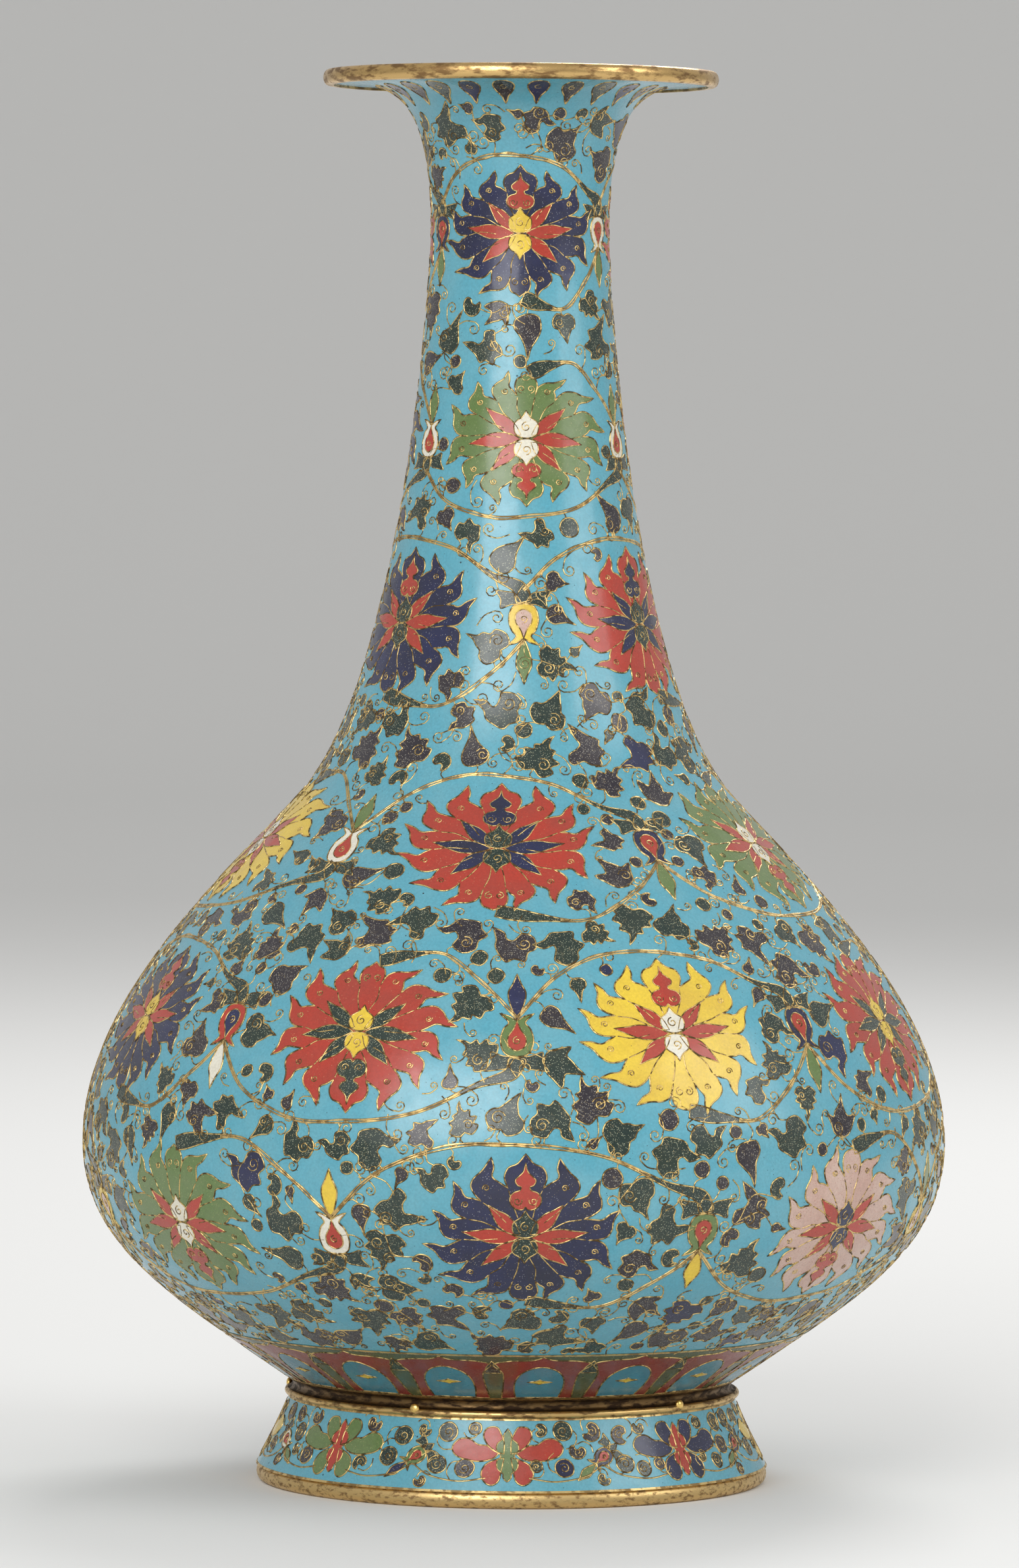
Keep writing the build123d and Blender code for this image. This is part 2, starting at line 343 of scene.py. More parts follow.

# %% [markdown]
# ## Metal
# The wires were gilded once. Most of the gold is gone from them, and they are brown to nearly black with
# bright glints where a polishing cloth still reaches. The rim, the collar and the foot ring keep more of
# their gold, but it is rubbed through in bands, and the shade in the collar's cove is painted in as a
# nearly black gilding. Both are one recipe: a patina colour and a gold colour, mixed by noise, with the
# worn places duller.


# %% Gilding and copper
def gilding(name, patina, gold, patch, patina_share, roughness, stretch=(1, 1, 1)):
    """Worn gilding. Patch is the size of the worn patches in mm, and patina_share how much is bare."""
    material, tree, principled = shader(name, roughness, metallic=1.0)
    point = object_point(tree, stretch)
    middle = 0.32 + 0.36 * patina_share
    worn = ramp(tree, noise(tree, point, patch, 5.0, 0.6), [(middle - 0.06, 1.0), (middle + 0.07, 0.0)])
    tree.links.new(mix(tree, worn, gold, patina), principled.inputs["Base Color"])
    rough = mix(tree, worn, (roughness,) * 3, (roughness + 0.22,) * 3)
    tree.links.new(rough, principled.inputs["Roughness"])
    marks = noise(tree, point, patch / 6, 4.0)
    bump(tree, marks, 0.4, 0.12, principled)
    return material


def copper(name, colour, shade, dent):
    """Hammered copper gone dull. Dent is the width of a hammer mark in mm."""
    material, tree, principled = shader(name, 0.5, metallic=0.85)
    point = object_point(tree)
    stains = ramp(tree, noise(tree, point, 14.0, 5.0), [(0.35, 0.0), (0.65, 1.0)])
    tree.links.new(mix(tree, stains, colour, shade), principled.inputs["Base Color"])
    blows = tree.nodes.new("ShaderNodeTexVoronoi")
    blows.inputs["Scale"].default_value = 1 / (dent * MM)
    blows.feature = "SMOOTH_F1"
    tree.links.new(point, blows.inputs["Vector"])
    bump(tree, blows.outputs["Distance"], 0.5, 0.5, principled)
    return material


WIRE_METAL = gilding("cloison_wire", (0.14, 0.09, 0.04), (0.75, 0.54, 0.22), 2.6, 0.46, 0.36)
STEM_METAL = gilding("stem_wire", (0.33, 0.22, 0.095), (0.78, 0.57, 0.25), 4.0, 0.46, 0.36)
RIM_METAL = gilding("rim_gilding", (0.26, 0.155, 0.066), (0.66, 0.44, 0.18), 7.0, 0.42, 0.26, (1, 1, 3))
MOUNT_METAL = gilding("mount_gilding", (0.3, 0.19, 0.085), (0.68, 0.48, 0.21), 3.0, 0.32, 0.36, (1, 1, 2))
COLLAR_METAL = gilding("collar_gilding", (0.2, 0.12, 0.052), (0.66, 0.45, 0.18), 6.0, 0.38, 0.34, (1, 1, 3))
# painted shade: a nearly black gilding for the collar's cove, which lies under the belly
PAINTED_SHADE_METAL = gilding(
    "painted_shade_gilding", (0.045, 0.027, 0.016), (0.16, 0.098, 0.042), 7.0, 0.5, 0.42, (1, 1, 3))
PIN_METAL = gilding("pin_gilding", (0.42, 0.26, 0.08), (0.9, 0.62, 0.2), 2.0, 0.18, 0.28)
COPPER = copper("raised_copper", (0.24, 0.11, 0.06), (0.11, 0.06, 0.04), 7.0)
BRAZING = copper("brazing_metal", (0.36, 0.23, 0.11), (0.2, 0.13, 0.07), 2.5)
print(len(bpy.data.materials), "materials with the metals")

# %% [markdown]
# ## Finishing a piece
# Every piece ends the same way: its bmesh becomes an object at the origin, faces are shaded smooth, edges
# where the form really turns are marked sharp, and it is tied to the vase and to its finish.


# %% Making objects
SHARP = math.radians(38)


def finish_piece(name, mesh, material, replaced=()):
    """Makes the object, and ties it to the frame."""
    piece = add_object(name, mesh)
    mesh.materials.clear()
    mesh.materials.append(material)
    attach(piece, "root")
    if replaced:
        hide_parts(*replaced)
    return piece


def mesh_from(bm, name):
    """Turns a finished bmesh into a mesh, with smooth faces and sharp edges."""
    for face in bm.faces:
        face.smooth = True
    for edge in bm.edges:
        edge.smooth = edge.calc_face_angle(0) < SHARP
    mesh = bpy.data.meshes.new(name)
    bm.to_mesh(mesh)
    bm.free()
    return mesh


# %% [markdown]
# ## Turned parts
# The gilt rims, the foot ring and the collar were cast or bent from strip and turned true on a lathe, and
# the coats of enamel follow the vessel, so each is a closed section spun round the axis. Spin with
# merging closes the last step on the first. The normals are made consistent once doubled points are
# merged.

# %% Spinning a section
TURN_STEPS = 288


def spin_round(bm, line, edges, steps):
    """Spins a line a full turn round the vase's axis, and turns the faces outwards."""
    bmesh.ops.spin(
        bm, geom=line + edges, cent=(0, 0, 0), axis=(0, 0, 1), angle=math.tau, steps=steps, use_merge=True
    )
    bmesh.ops.remove_doubles(bm, verts=bm.verts[:], dist=1e-6)
    bmesh.ops.recalc_face_normals(bm, faces=bm.faces[:])


def spun(name, section, material, replaced):
    """Spins a closed section, given as radii and heights in mm, round the vase's axis."""
    bm = bmesh.new()
    corners = [bm.verts.new((radius * MM, 0, height * MM)) for radius, height in section]
    edges = [bm.edges.new((a, b)) for a, b in zip(corners, corners[1:] + corners[:1])]
    spin_round(bm, corners, edges, TURN_STEPS)
    print(f"{name}: {len(bm.faces)} faces")
    return finish_piece(name, mesh_from(bm, name), material, replaced)


def arc(centre, wide, high, first, last, steps=10):
    """Points on an elliptical arc, from one angle to another in degrees."""
    angles = np.radians(np.linspace(first, last, steps))
    return [(centre[0] + wide * math.cos(a), centre[1] + high * math.sin(a)) for a in angles]


def coat_section(surface, low, high, outer, inner, pitch):
    """The section of a coat between two distances along the outline and two depths under it."""
    out = np.linspace(low, high, max(2, int((high - low) / pitch)))
    back = np.linspace(high, low, max(2, int((high - low) / pitch / 2)))
    return list(zip(*surface.section(out, -outer))) + list(zip(*surface.section(back, -inner)))


# %% [markdown]
# The ground coat comes in the same zones as in the CAD, because each was fired on its own part of the
# vessel. The borders are where its box ends: between the lappets and the scroll, at the belly, at the
# neck joint and under the lip.

# %% Ground coats
COAT = 1.2  # the enamel, in mm
WALL = COAT + 1.8  # with the copper under it
lappet_top = vessel.at_height(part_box("lappet_enamel")[1].z / MM)
belly_line = vessel.at_height(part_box("belly_enamel")[1].z / MM)
neck_line = vessel.at_height(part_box("shoulder_enamel")[1].z / MM)
lip_line = vessel.at_height(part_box("neck_enamel")[1].z / MM)
coat_bottom = vessel.at_height(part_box("lappet_enamel")[0].z / MM)
wire_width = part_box("lappet_wire")[1].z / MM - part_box("lappet_wire")[0].z / MM

# node, from and to along the outline, and the spacing of the section's points, in mm
GROUNDS = [
    ("lappet_enamel", coat_bottom, lappet_top, 1.6),
    ("belly_enamel", lappet_top + wire_width, belly_line, 2.4),
    ("shoulder_enamel", belly_line, neck_line, 2.6),
    ("neck_enamel", neck_line, lip_line, 3.0),
    ("lip_enamel", lip_line, vessel.length, 1.2),
]
for node, low, high, pitch in GROUNDS:
    section = coat_section(vessel, low, high, 0.0, COAT, pitch)
    spun(node.replace("enamel", "ground"), section, ENAMELS["turquoise"], (node,))
foot_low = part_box("foot_enamel")[0].z / MM
foot_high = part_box("foot_enamel")[1].z / MM
foot_section = coat_section(foot, foot.at_height(foot_low), foot.at_height(foot_high), 0.0, COAT, 2.0)
spun("foot_ground", foot_section, ENAMELS["turquoise"], ("foot_enamel",))

# %% [markdown]
# The neck's copper shows inside the mouth, so it is spun again with closer points. The other copper
# shells stay as the CAD made them, because they only show deep inside.

# %% Copper at the mouth
neck_section = coat_section(vessel, neck_line, vessel.length, COAT, WALL, 1.5)
spun("neck_copper", neck_section, COPPER, ("neck_core",))

# %% [markdown]
# The mouth's rim is a half-round strip bent round the lip, with a thin lap turned down inside it. Its
# outer side is an arc, so that it catches one long highlight.

# %% Mouth rim
rim_low, rim_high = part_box("mouth_rim")
rim_top = rim_high.z / MM
rim_radius = rim_high.x / MM
lip_radius = vessel.line[-1][0]
rim_middle = (lip_radius + rim_radius) / 2
rim_half = (rim_high.z - rim_low.z) / MM / 2
rim_centre = (rim_middle, rim_low.z / MM + rim_half)
lap_width = 2.2
lap_bottom = rim_top - 1.9
rim_section = [(lip_radius, rim_low.z / MM)]
rim_section += arc(rim_centre, rim_radius - rim_middle, rim_half, -90, 90, 14)
rim_section += [(lip_radius - 1.0, rim_top), (lip_radius - 2.0, rim_top - 0.7)]
rim_section += [(lip_radius - lap_width, lap_bottom), (lip_radius, lap_bottom)]
spun("gilt_mouth_rim", rim_section, RIM_METAL, ("mouth_rim",))

# %% [markdown]
# The vase stands on a heavier ring of the same kind. It is flat underneath, with its edges broken, and
# swells outwards between the table and the enamel.

# %% Foot ring
ring_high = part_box("foot_rim")[1]
ring_radius = ring_high.x / MM
ring_top = ring_high.z / MM
ring_wall = 6.3
ring_bore = ring_radius - ring_wall
ring_section = [(ring_bore, 0.5), (ring_bore + 0.5, 0.0), (ring_radius - 2.3, 0.0)]
ring_section += arc((ring_radius - 2.0, ring_top / 2 + 0.2), 1.9, ring_top / 2 - 0.2, -75, 60, 12)
ring_section += [(ring_radius - 0.1, ring_top), (ring_bore, ring_top)]
spun("gilt_foot_ring", ring_section, MOUNT_METAL, ("foot_rim",))

# %% [markdown]
# The collar between the vessel and the foot has a bright bead at the bottom and a cove above it. The cove
# lies in the shade under the belly, and that shade is painted in: the faces above the bead take a second,
# nearly black gilding.

# %% Foot collar
collar_low, collar_high = (corner.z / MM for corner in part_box("foot_collar"))
collar_wall = 3.5
collar_bead = 1.4
collar_bore = VESSEL_STATIONS[0][0][0] - collar_wall
collar_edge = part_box("foot_collar")[1].x / MM - collar_bead
bead_top = collar_low + 2.75
collar_section = [(collar_bore, collar_low)]
collar_section += arc((collar_edge - 0.2, collar_low + collar_bead), 1.6, collar_bead, -90, 90, 12)
collar_section += arc((collar_edge + 0.1, collar_low + 4.8), 1.7, 2.0, -90, -270, 12)
collar_section += [(collar_edge, collar_high - 0.2), (collar_edge - 0.2, collar_high)]
collar_section += [(collar_bore, collar_high)]
collar = spun("gilt_foot_collar", collar_section, COLLAR_METAL, ("foot_collar",))
# the faces above the bead take the painted shade of the cove
collar.data.materials.append(PAINTED_SHADE_METAL)
for face in collar.data.polygons:
    face.material_index = 1 if face.center.z > bead_top * MM else 0

# %% [markdown]
# Round-headed pins hold the collar. A pin's head is a low dome, made from a UV sphere that is flattened
# along the pin, so it has no hard edge to catch the light wrongly.

# %% Pins
pin_count = 5
pin_first = -25  # degrees from the front
pin_head = 2.0
pin_flatness = 0.62
pin_proud = 0.5
pin_height = (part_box("collar_pins")[0].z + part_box("collar_pins")[1].z) / 2 / MM
bm = bmesh.new()
for i in range(pin_count):
    turn = math.radians(pin_first + 360 / pin_count * i)
    dome = bmesh.ops.create_uvsphere(bm, u_segments=20, v_segments=12, radius=pin_head * MM)["verts"]
    bmesh.ops.scale(bm, vec=(1, pin_flatness, 1), verts=dome)
    bmesh.ops.translate(bm, vec=(0, -(collar_edge + pin_proud) * MM, pin_height * MM), verts=dome)
    bmesh.ops.rotate(bm, cent=(0, 0, 0), matrix=Matrix.Rotation(turn, 3, "Z"), verts=dome)
finish_piece("pin_heads", mesh_from(bm, "pin_heads"), PIN_METAL, ("collar_pins",))
print(f"{pin_count} pins at a height of {pin_height:.1f} mm")

# %% [markdown]
# The rest of the CAD's nodes show as they are: the inner shells, the seams and the border wires. Their
# shapes are right already, so they only need their metals.

# %% Metals of the CAD's own pieces
for metal, nodes in (
    (COPPER, ("shoulder_core", "bowl_core", "foot_core", "base_plate")),
    (BRAZING, ("neck_braze", "belly_braze", "foot_braze")),
    (STEM_METAL, ("seat_wire", "lappet_wire", "foot_top_wire", "foot_base_wire")),
):
    for node in nodes:
        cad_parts[node].data.materials.clear()
        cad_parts[node].data.materials.append(metal)
    print(metal.name, "on", ", ".join(nodes))

# %% [markdown]
# ## Drawing with wire
# The ornament is drawn as the enameller draws it: a wire is bent to a line, and a closed wire makes a
# cell. `smooth` runs a Catmull-Rom curve through a few points and keeps the corners that are named, which
# is how a bent wire behaves: flowing, with a sharp nip at each tip.


# %% Curves
def smooth(points, corners=(), closed=True, parts=5):
    """A curve through the points, with a nip at each corner."""
    points = np.array(points, float)
    count = len(points)
    out = []
    for i in range(count if closed else count - 1):
        start, end = points[i], points[(i + 1) % count]
        chord = end - start
        free_start = i in corners or (not closed and i == 0)
        free_end = (i + 1) % count in corners or (not closed and i + 2 >= count)
        before = start - chord if free_start else points[i - 1]
        after = end + chord if free_end else points[(i + 2) % count]
        t = np.linspace(0, 1, parts, endpoint=False)[:, None]
        cubic = 3 * (start - end) + after - before
        square = 2 * before - 5 * start + 4 * end - after
        out.append(0.5 * (2 * start + (end - before) * t + square * t**2 + cubic * t**3))
    if not closed:
        out.append(points[-1:])
    return np.vstack(out)


def mirrored(points):
    """The points of one half, then the other half mirrored left to right and run back."""
    return list(points) + [(-x, y) for x, y in reversed(points) if abs(x) > 1e-6]


def spiral(centre, radius, start, turns, steps=16):
    """A curl that starts at its outside and winds in. Start is in degrees, and turns may be negative."""
    share = np.linspace(0, 1, steps)
    angle = math.radians(start) + share * turns * math.tau
    reach = radius * (1 - 0.78 * share)
    return np.column_stack((centre[0] + reach * np.cos(angle), centre[1] + reach * np.sin(angle)))


class Spot:
    """A place on a surface where a motif is laid, drawn in flat millimetres about its own origin."""

    def __init__(self, surface, turn, along, size=1.0, spin=0.0, flip=False):
        self.surface, self.turn, self.along = surface, turn, along
        self.size, self.spin, self.flip = size, spin, flip

    def lay(self, points):
        """Turns flat points into places on the surface."""
        flat = np.array(points, float) * self.size
        if self.flip:
            flat[:, 0] *= -1
        cos, sin = math.cos(self.spin), math.sin(self.spin)
        x = flat[:, 0] * cos - flat[:, 1] * sin
        along = self.along + flat[:, 0] * sin + flat[:, 1] * cos
        return np.column_stack((self.turn + x / self.surface.radius(along), along))


# %% [markdown]
# Cells and wires are collected first and made into meshes at the end, one piece for each colour in each
# zone. A layer number says what lies on what: the ground, then leaves, petals, inner petals and the
# heart, each a fraction of a millimetre above the last.

# %% Collecting cells and wires
LAYER_LIFT = (0.0, 0.10, 0.15, 0.20, 0.25)  # in mm
THIN, FINE, STEM = 0.74, 0.60, 0.80  # widths of wire, in mm
cells = {}
wires = {}


def wire(zone, places, layer=1, closed=False, width=THIN, metal="cloison"):
    """Sets a wire along places on the surface."""
    wires.setdefault((zone, metal, width), []).append((places, closed, LAYER_LIFT[layer]))


def cell(zone, colour, places, layer, edge=THIN):
    """Fills a closed outline with enamel, and sets a wire round it."""
    cells.setdefault((zone, colour), []).append((places, LAYER_LIFT[layer]))
    if edge:
        wire(zone, places, layer, True, edge)


# %% [markdown]
# ## The lotus
# The flower of the scroll is seen from the side and opened flat: a ring of flame-like petals, each with
# its tip bent over and a curl of wire in it, six small inner petals, a heart of two rounded lobes, and a
# trefoil cloud at the top. The ring is one outline. It's worked out petal by petal on an ellipse, as
# shares of the ellipse's reach, so the same lotus fits every row when its width and height change.

# %% Lotus
PETAL_ANGLES = (-66, -38, -13, 9, 30, 53)
PETAL = ((0.70, -0.50), (0.80, -0.48), (0.89, -0.37), (0.95, -0.14), (0.99, 0.14), (1.10, 0.39),
         (0.975, 0.36), (0.90, 0.27), (0.845, 0.26), (0.78, 0.37))
CROWN = ((0.70, -0.50), (0.85, -0.50), (0.96, -0.36), (1.00, -0.16), (1.12, 0.0))
CLOUD = ((0.0, 1.00), (0.022, 0.89), (0.070, 0.83), (0.112, 0.775), (0.090, 0.715), (0.048, 0.69),
         (0.062, 0.645), (0.13, 0.615), (0.172, 0.545), (0.155, 0.455), (0.090, 0.40), (0.030, 0.395),
         (0.0, 0.43))
INNER = ((0.0, 0.0), (0.22, -0.20), (0.55, -0.24), (0.82, -0.10), (1.12, 0.10), (0.84, 0.17), (0.60, 0.25),
         (0.28, 0.20))


def ellipse_reach(angle, wide, high):
    """Distance from the centre of an ellipse to its edge. The angle is in degrees."""
    angle = math.radians(angle)
    return 1 / math.hypot(math.cos(angle) / wide, math.sin(angle) / high)


def polar(angle, reach):
    """A point at an angle in degrees."""
    return reach * math.cos(math.radians(angle)), reach * math.sin(math.radians(angle))


def lotus_ring(wide, high):
    """The outline of the ring of petals, the angles between them, and the angles of their tips."""
    half = [-90] + list(PETAL_ANGLES) + [90]
    angles = half + [180 - a for a in reversed(PETAL_ANGLES)]
    points, corners, notches = [], [], []
    for i, angle in enumerate(angles):
        before, after = angles[i - 1], angles[(i + 1) % len(angles)]
        gap_before = (angle - before) % 360
        gap_after = (after - angle) % 360
        crown = angle in (-90, 90)
        width = 2 * min(gap_before, gap_after) if crown else (gap_before + gap_after) / 2
        shape = CROWN + tuple((reach, -side) for reach, side in reversed(CROWN[1:-1])) if crown else PETAL
        bent_up = (angle > 0) != (90 < angle < 270)
        if not crown and not bent_up:
            shape = (PETAL[0],) + tuple((reach, -side) for reach, side in reversed(PETAL[1:]))
        grow = 1 + chance.uniform(-0.025, 0.035)
        tip = max(range(len(shape)), key=lambda k: shape[k][0])
        corners += [len(points), len(points) + tip]
        for reach, side in shape:
            spread = side * (gap_before if side < 0 else gap_after)
            if crown:
                spread = side * width * 0.5
            scale = grow if reach > 0.8 else 1
            if angle == -90 and reach > 1:
                scale = 0.93
            points.append(polar(angle + spread, reach * scale * ellipse_reach(angle + spread, wide, high)))
        notches.append(angle + shape[0][1] * gap_before if not crown else angle - width * 0.25)
    return smooth(points, corners, True, 4), notches, angles


# %% [markdown]
# Inside the ring, single wires mark off the petals and curl at their tips. The inner petals, the heart
# and the cloud are cells laid on top, each a layer higher, as the real wires are set closer and stand a
# little proud.


# %% Inside the lotus
def petal_wires(zone, spot, wide, high, notches, angles):
    """The wires between the petals, and the curl in each tip."""
    for angle in notches:
        reach = ellipse_reach(angle, wide, high)
        bend = chance.uniform(-5, 5)
        line = [polar(angle, 0.67 * reach), polar(angle + bend, 0.50 * reach), polar(angle, 0.30 * reach)]
        wire(zone, spot.lay(smooth(line, (), False, 5)), 2, width=FINE)
    for angle in angles:
        if angle in (-90, 90):
            continue
        reach = ellipse_reach(angle, wide, high)
        start, turns = (200, -1.4) if 90 < angle < 270 else (-20, 1.4)
        wire(zone, spot.lay(spiral(polar(angle, 0.80 * reach), wide * 0.040, start, turns)), 2, width=FINE)


def inner_petals(zone, spot, wide, side, colour):
    """The three inner petals of one side. Each is the same petal, turned, stretched and made stouter."""
    for angle, long, stout in ((3, 0.56, 0.62), (40, 0.44, 0.74), (-34, 0.47, 0.70)):
        start = polar(angle, wide * 0.07)
        cos, sin = polar(angle, 1)
        curve = [
            (side * (start[0] + wide * long * (u * cos - v * stout * sin)),
             start[1] + wide * long * (u * sin + v * stout * cos))
            for u, v in (INNER if angle > -10 else [(u, -v) for u, v in INNER])
        ]
        cell(zone, colour, spot.lay(smooth(curve, (0, 4), True, 4)), 3, FINE)


LOBE = ((0.0, 2.3), (0.34, 1.75), (0.95, 1.25), (0.90, 0.45), (0.35, 0.08))


def lotus_heart(zone, spot, lobe, colour):
    """The heart's two lobes, one above the other, each with a curl."""
    for sign in (1, -1):
        points = [(lobe * x, sign * lobe * y) for x, y in LOBE]
        cell(zone, colour, spot.lay(smooth(mirrored(points), (0,), True, 4)), 4, FINE)
        wire(zone, spot.lay(spiral((0, sign * lobe * 0.95), lobe * 0.42, 90 * sign, 1.2)), 4, width=FINE)


def lotus(zone, spot, wide, high, petals, inner, heart, cloud):
    """A whole lotus with its cloud at the top of the spot."""
    ring, notches, angles = lotus_ring(wide, high)
    cell(zone, petals, spot.lay(ring), 2)
    petal_wires(zone, spot, wide, high, notches, angles)
    for side in (-1, 1):
        curl = spiral((side * wide * 0.055, -high * 0.80), wide * 0.05, 90, -1.3 * side)
        wire(zone, spot.lay(curl), 2, width=FINE)
        inner_petals(zone, spot, wide, side, inner)
    lotus_heart(zone, spot, wide * 0.142, heart)
    points = mirrored([(x * wide, y * high) for x, y in CLOUD])
    cell(zone, cloud, spot.lay(smooth(points, (0,), True, 4)), 4, FINE)
    for side in (-1, 1):
        start = 20 if side < 0 else 160
        curl = spiral((side * wide * 0.086, high * 0.505), wide * 0.050, start, 1.2 * side)
        wire(zone, spot.lay(curl), 4, width=FINE)


# %% [markdown]
# ## Buds
# Between the flowers the stem grows out of a long sheath into a bud: two side leaves, a round calyx whose
# edges flare into horns, a drop inside it, and a spindle for the closed petals. It is drawn pointing up.

# %% Bud
CALYX = ((0.0, -8.0), (4.0, -6.6), (5.4, -2.2), (4.4, 2.0), (2.7, 4.4), (5.6, 7.6), (2.4, 6.6), (0.0, 5.2))
DROP = ((0.0, 5.2), (1.1, 2.0), (2.9, -1.0), (2.7, -4.2), (0.0, -5.8))
SPINDLE = ((0.0, 5.0), (1.2, 8.0), (2.5, 12.0), (2.8, 15.5), (1.3, 18.8), (0.0, 22.5))
SIDE_LEAF = ((0.4, -7.6), (4.4, -7.6), (8.4, -6.2), (8.4, -9.6), (10.6, -13.0), (6.2, -12.4), (3.0, -11.6))
BASE_LEAF = ((0.0, -8.0), (2.8, -8.8), (2.2, -11.6), (0.0, -15.0))


def bud(zone, spot, calyx, drop, spindle):
    """A bud that points to the top of its spot."""
    for side in (-1, 1):
        leaf = [(side * x, y) for x, y in SIDE_LEAF]
        cell(zone, "green", spot.lay(smooth(leaf, (0, 4), True, 4)), 2, FINE)
    cell(zone, "green", spot.lay(smooth(mirrored(BASE_LEAF), (0, 3), True, 4)), 2, FINE)
    cell(zone, spindle, spot.lay(smooth(mirrored(SPINDLE), (0, 5), True, 4)), 2)
    cell(zone, calyx, spot.lay(smooth(mirrored(CALYX), (5, 9), True, 4)), 3)
    cell(zone, drop, spot.lay(smooth(mirrored(DROP), (0,), True, 4)), 4, FINE)
    wire(zone, spot.lay(spiral((0, -2.2), 1.5, 90, 1.2)), 4, width=FINE)


# %% [markdown]
# ## The rows of the scroll
# The scroll runs round the vase in six rows. A row on the neck has three flowers of one kind, which stand
# up or hang down. On the shoulder and the belly the two kinds take turns. There is a bud between each
# pair, and a stem waves through the row, over the standing flowers and under the hanging ones. Colours
# are listed as petals, inner petals, heart and cloud for a flower, and calyx, drop and spindle for a bud.

# %% The rows of flowers
NAVY_RED = ("navy", "red", "yellow", "red")
GREEN_RED = ("leaf", "red", "white", "red")
RED_NAVY = ("red", "navy", "green", "navy")
RED_GREEN = ("red", "green", "yellow", "green")
YELLOW_RED = ("yellow", "red", "white", "red")
PINK_RED = ("pink", "red", "navy", "red")
NAVY_DARK = ("navy", "red", "green", "red")
WHITE_BUD = ("white", "red", "leaf")
PALE_BUD = ("white", "red", "yellow")
TIPPED_BUD = ("leaf", "red", "yellow")
YELLOW_BUD = ("yellow", "pink", "leaf")
NAVY_BUD = ("navy", "red", "leaf")
LEAF_BUD = ("leaf", "red", "navy")
RED_BUD = ("red", "navy", "white")

UP, DOWN = 1, -1
# Name, zone, height in mm, half width and half height of a flower, bud size, then the flowers: each one's
# degrees from the front, which way up it is, its colours, and the colours of the bud after it.
ROWS = [
    ("upper_neck", "neck", 486.0, 31.0, 23.5, 0.90, [
        (0, UP, NAVY_RED, WHITE_BUD), (120, UP, RED_NAVY, YELLOW_BUD), (240, UP, RED_GREEN, NAVY_BUD)]),
    ("middle_neck", "neck", 407.0, 33.0, 24.0, 0.95, [
        (4, DOWN, GREEN_RED, WHITE_BUD), (125, DOWN, RED_GREEN, NAVY_BUD),
        (246, DOWN, NAVY_RED, WHITE_BUD)]),
    ("lower_neck", "neck", 335.5, 33.5, 27.0, 1.05, [
        (-54, UP, NAVY_DARK, YELLOW_BUD), (59, UP, RED_NAVY, WHITE_BUD), (180, UP, GREEN_RED, LEAF_BUD)]),
    ("upper_shoulder", "shoulder", 251.5, 36.5, 29.0, 1.15, [
        (-77, DOWN, YELLOW_RED, WHITE_BUD), (-4, UP, RED_NAVY, NAVY_BUD), (66, DOWN, GREEN_RED, LEAF_BUD),
        (120, UP, NAVY_RED, WHITE_BUD), (174, DOWN, RED_GREEN, YELLOW_BUD), (229, UP, PINK_RED, NAVY_BUD)]),
    ("lower_shoulder", "flank", 184.6, 34.0, 29.0, 1.15, [
        (-67, UP, NAVY_RED, RED_BUD), (-22.4, DOWN, RED_GREEN, LEAF_BUD), (23, UP, YELLOW_RED, NAVY_BUD),
        (67, DOWN, RED_GREEN, WHITE_BUD), (111, UP, GREEN_RED, YELLOW_BUD), (156, DOWN, PINK_RED, NAVY_BUD),
        (202, UP, NAVY_RED, WHITE_BUD), (248, DOWN, YELLOW_RED, LEAF_BUD)]),
    ("belly", "belly", 109.5, 34.0, 29.0, 1.12, [
        (-50, DOWN, GREEN_RED, PALE_BUD), (1.5, UP, NAVY_DARK, TIPPED_BUD),
        (49.5, DOWN, PINK_RED, YELLOW_BUD), (93, UP, RED_NAVY, NAVY_BUD),
        (136, DOWN, NAVY_RED, WHITE_BUD), (179, UP, YELLOW_RED, LEAF_BUD),
        (222, DOWN, RED_GREEN, NAVY_BUD), (265, UP, GREEN_RED, YELLOW_BUD)]),
]
print(sum(len(row[-1]) for row in ROWS), "flowers to draw")

# %% [markdown]
# A stem is three strands of wire laid by hand, two nearly parallel and one that wanders between them.
# Where it meets a flower or a bud it is covered by a long tapered sheath. Every stem is remembered twice:
# as a place where tendrils may spring, and as an obstacle that leaves keep off.

# %% Stems
SHEATH_WIDTHS = (0.9, 1.9, 3.6, 5.2, 6.0, 5.2)
STRANDS = ((-0.46, 0.12), (0.46, 0.14), (0.05, 0.85))  # distance from the middle, and sway, in mm
UNDER_SHEATH = 3  # places that the wire runs on under its sheath
STEM_ROOM = 1.1
network = []
obstacles = []


def offset(places, distance):
    """Places on the vessel moved sideways by a distance, or by one distance for each place."""
    metric = np.column_stack((places[:, 0] * vessel.radius(places[:, 1]), places[:, 1]))
    way = np.gradient(metric, axis=0)
    way /= np.maximum(np.hypot(*way.T), 1e-9)[:, None]
    side = np.column_stack((-way[:, 1], way[:, 0])) * np.reshape(distance, (-1, 1))
    return places + np.column_stack((side[:, 0] / vessel.radius(places[:, 1]), side[:, 1]))


def sheath(zone, places):
    """A long leaf that swells along the end of a stem and covers it."""
    along, stations = np.linspace(0, 1, len(places)), np.linspace(0, 1, len(SHEATH_WIDTHS))
    half = np.interp(along, stations, SHEATH_WIDTHS) / 2
    cell(zone, "green", np.vstack((offset(places, half), offset(places, -half)[::-1])), 2)


def note_stem(places):
    """Remembers a stem, for tendrils to spring from and leaves to keep off."""
    points = vessel.place(places[:, 0], places[:, 1], 0)
    network.extend((tuple(place), Vector(point)) for place, point in zip(places, points))
    obstacles.extend((Vector(point), STEM_ROOM * MM) for point in points)


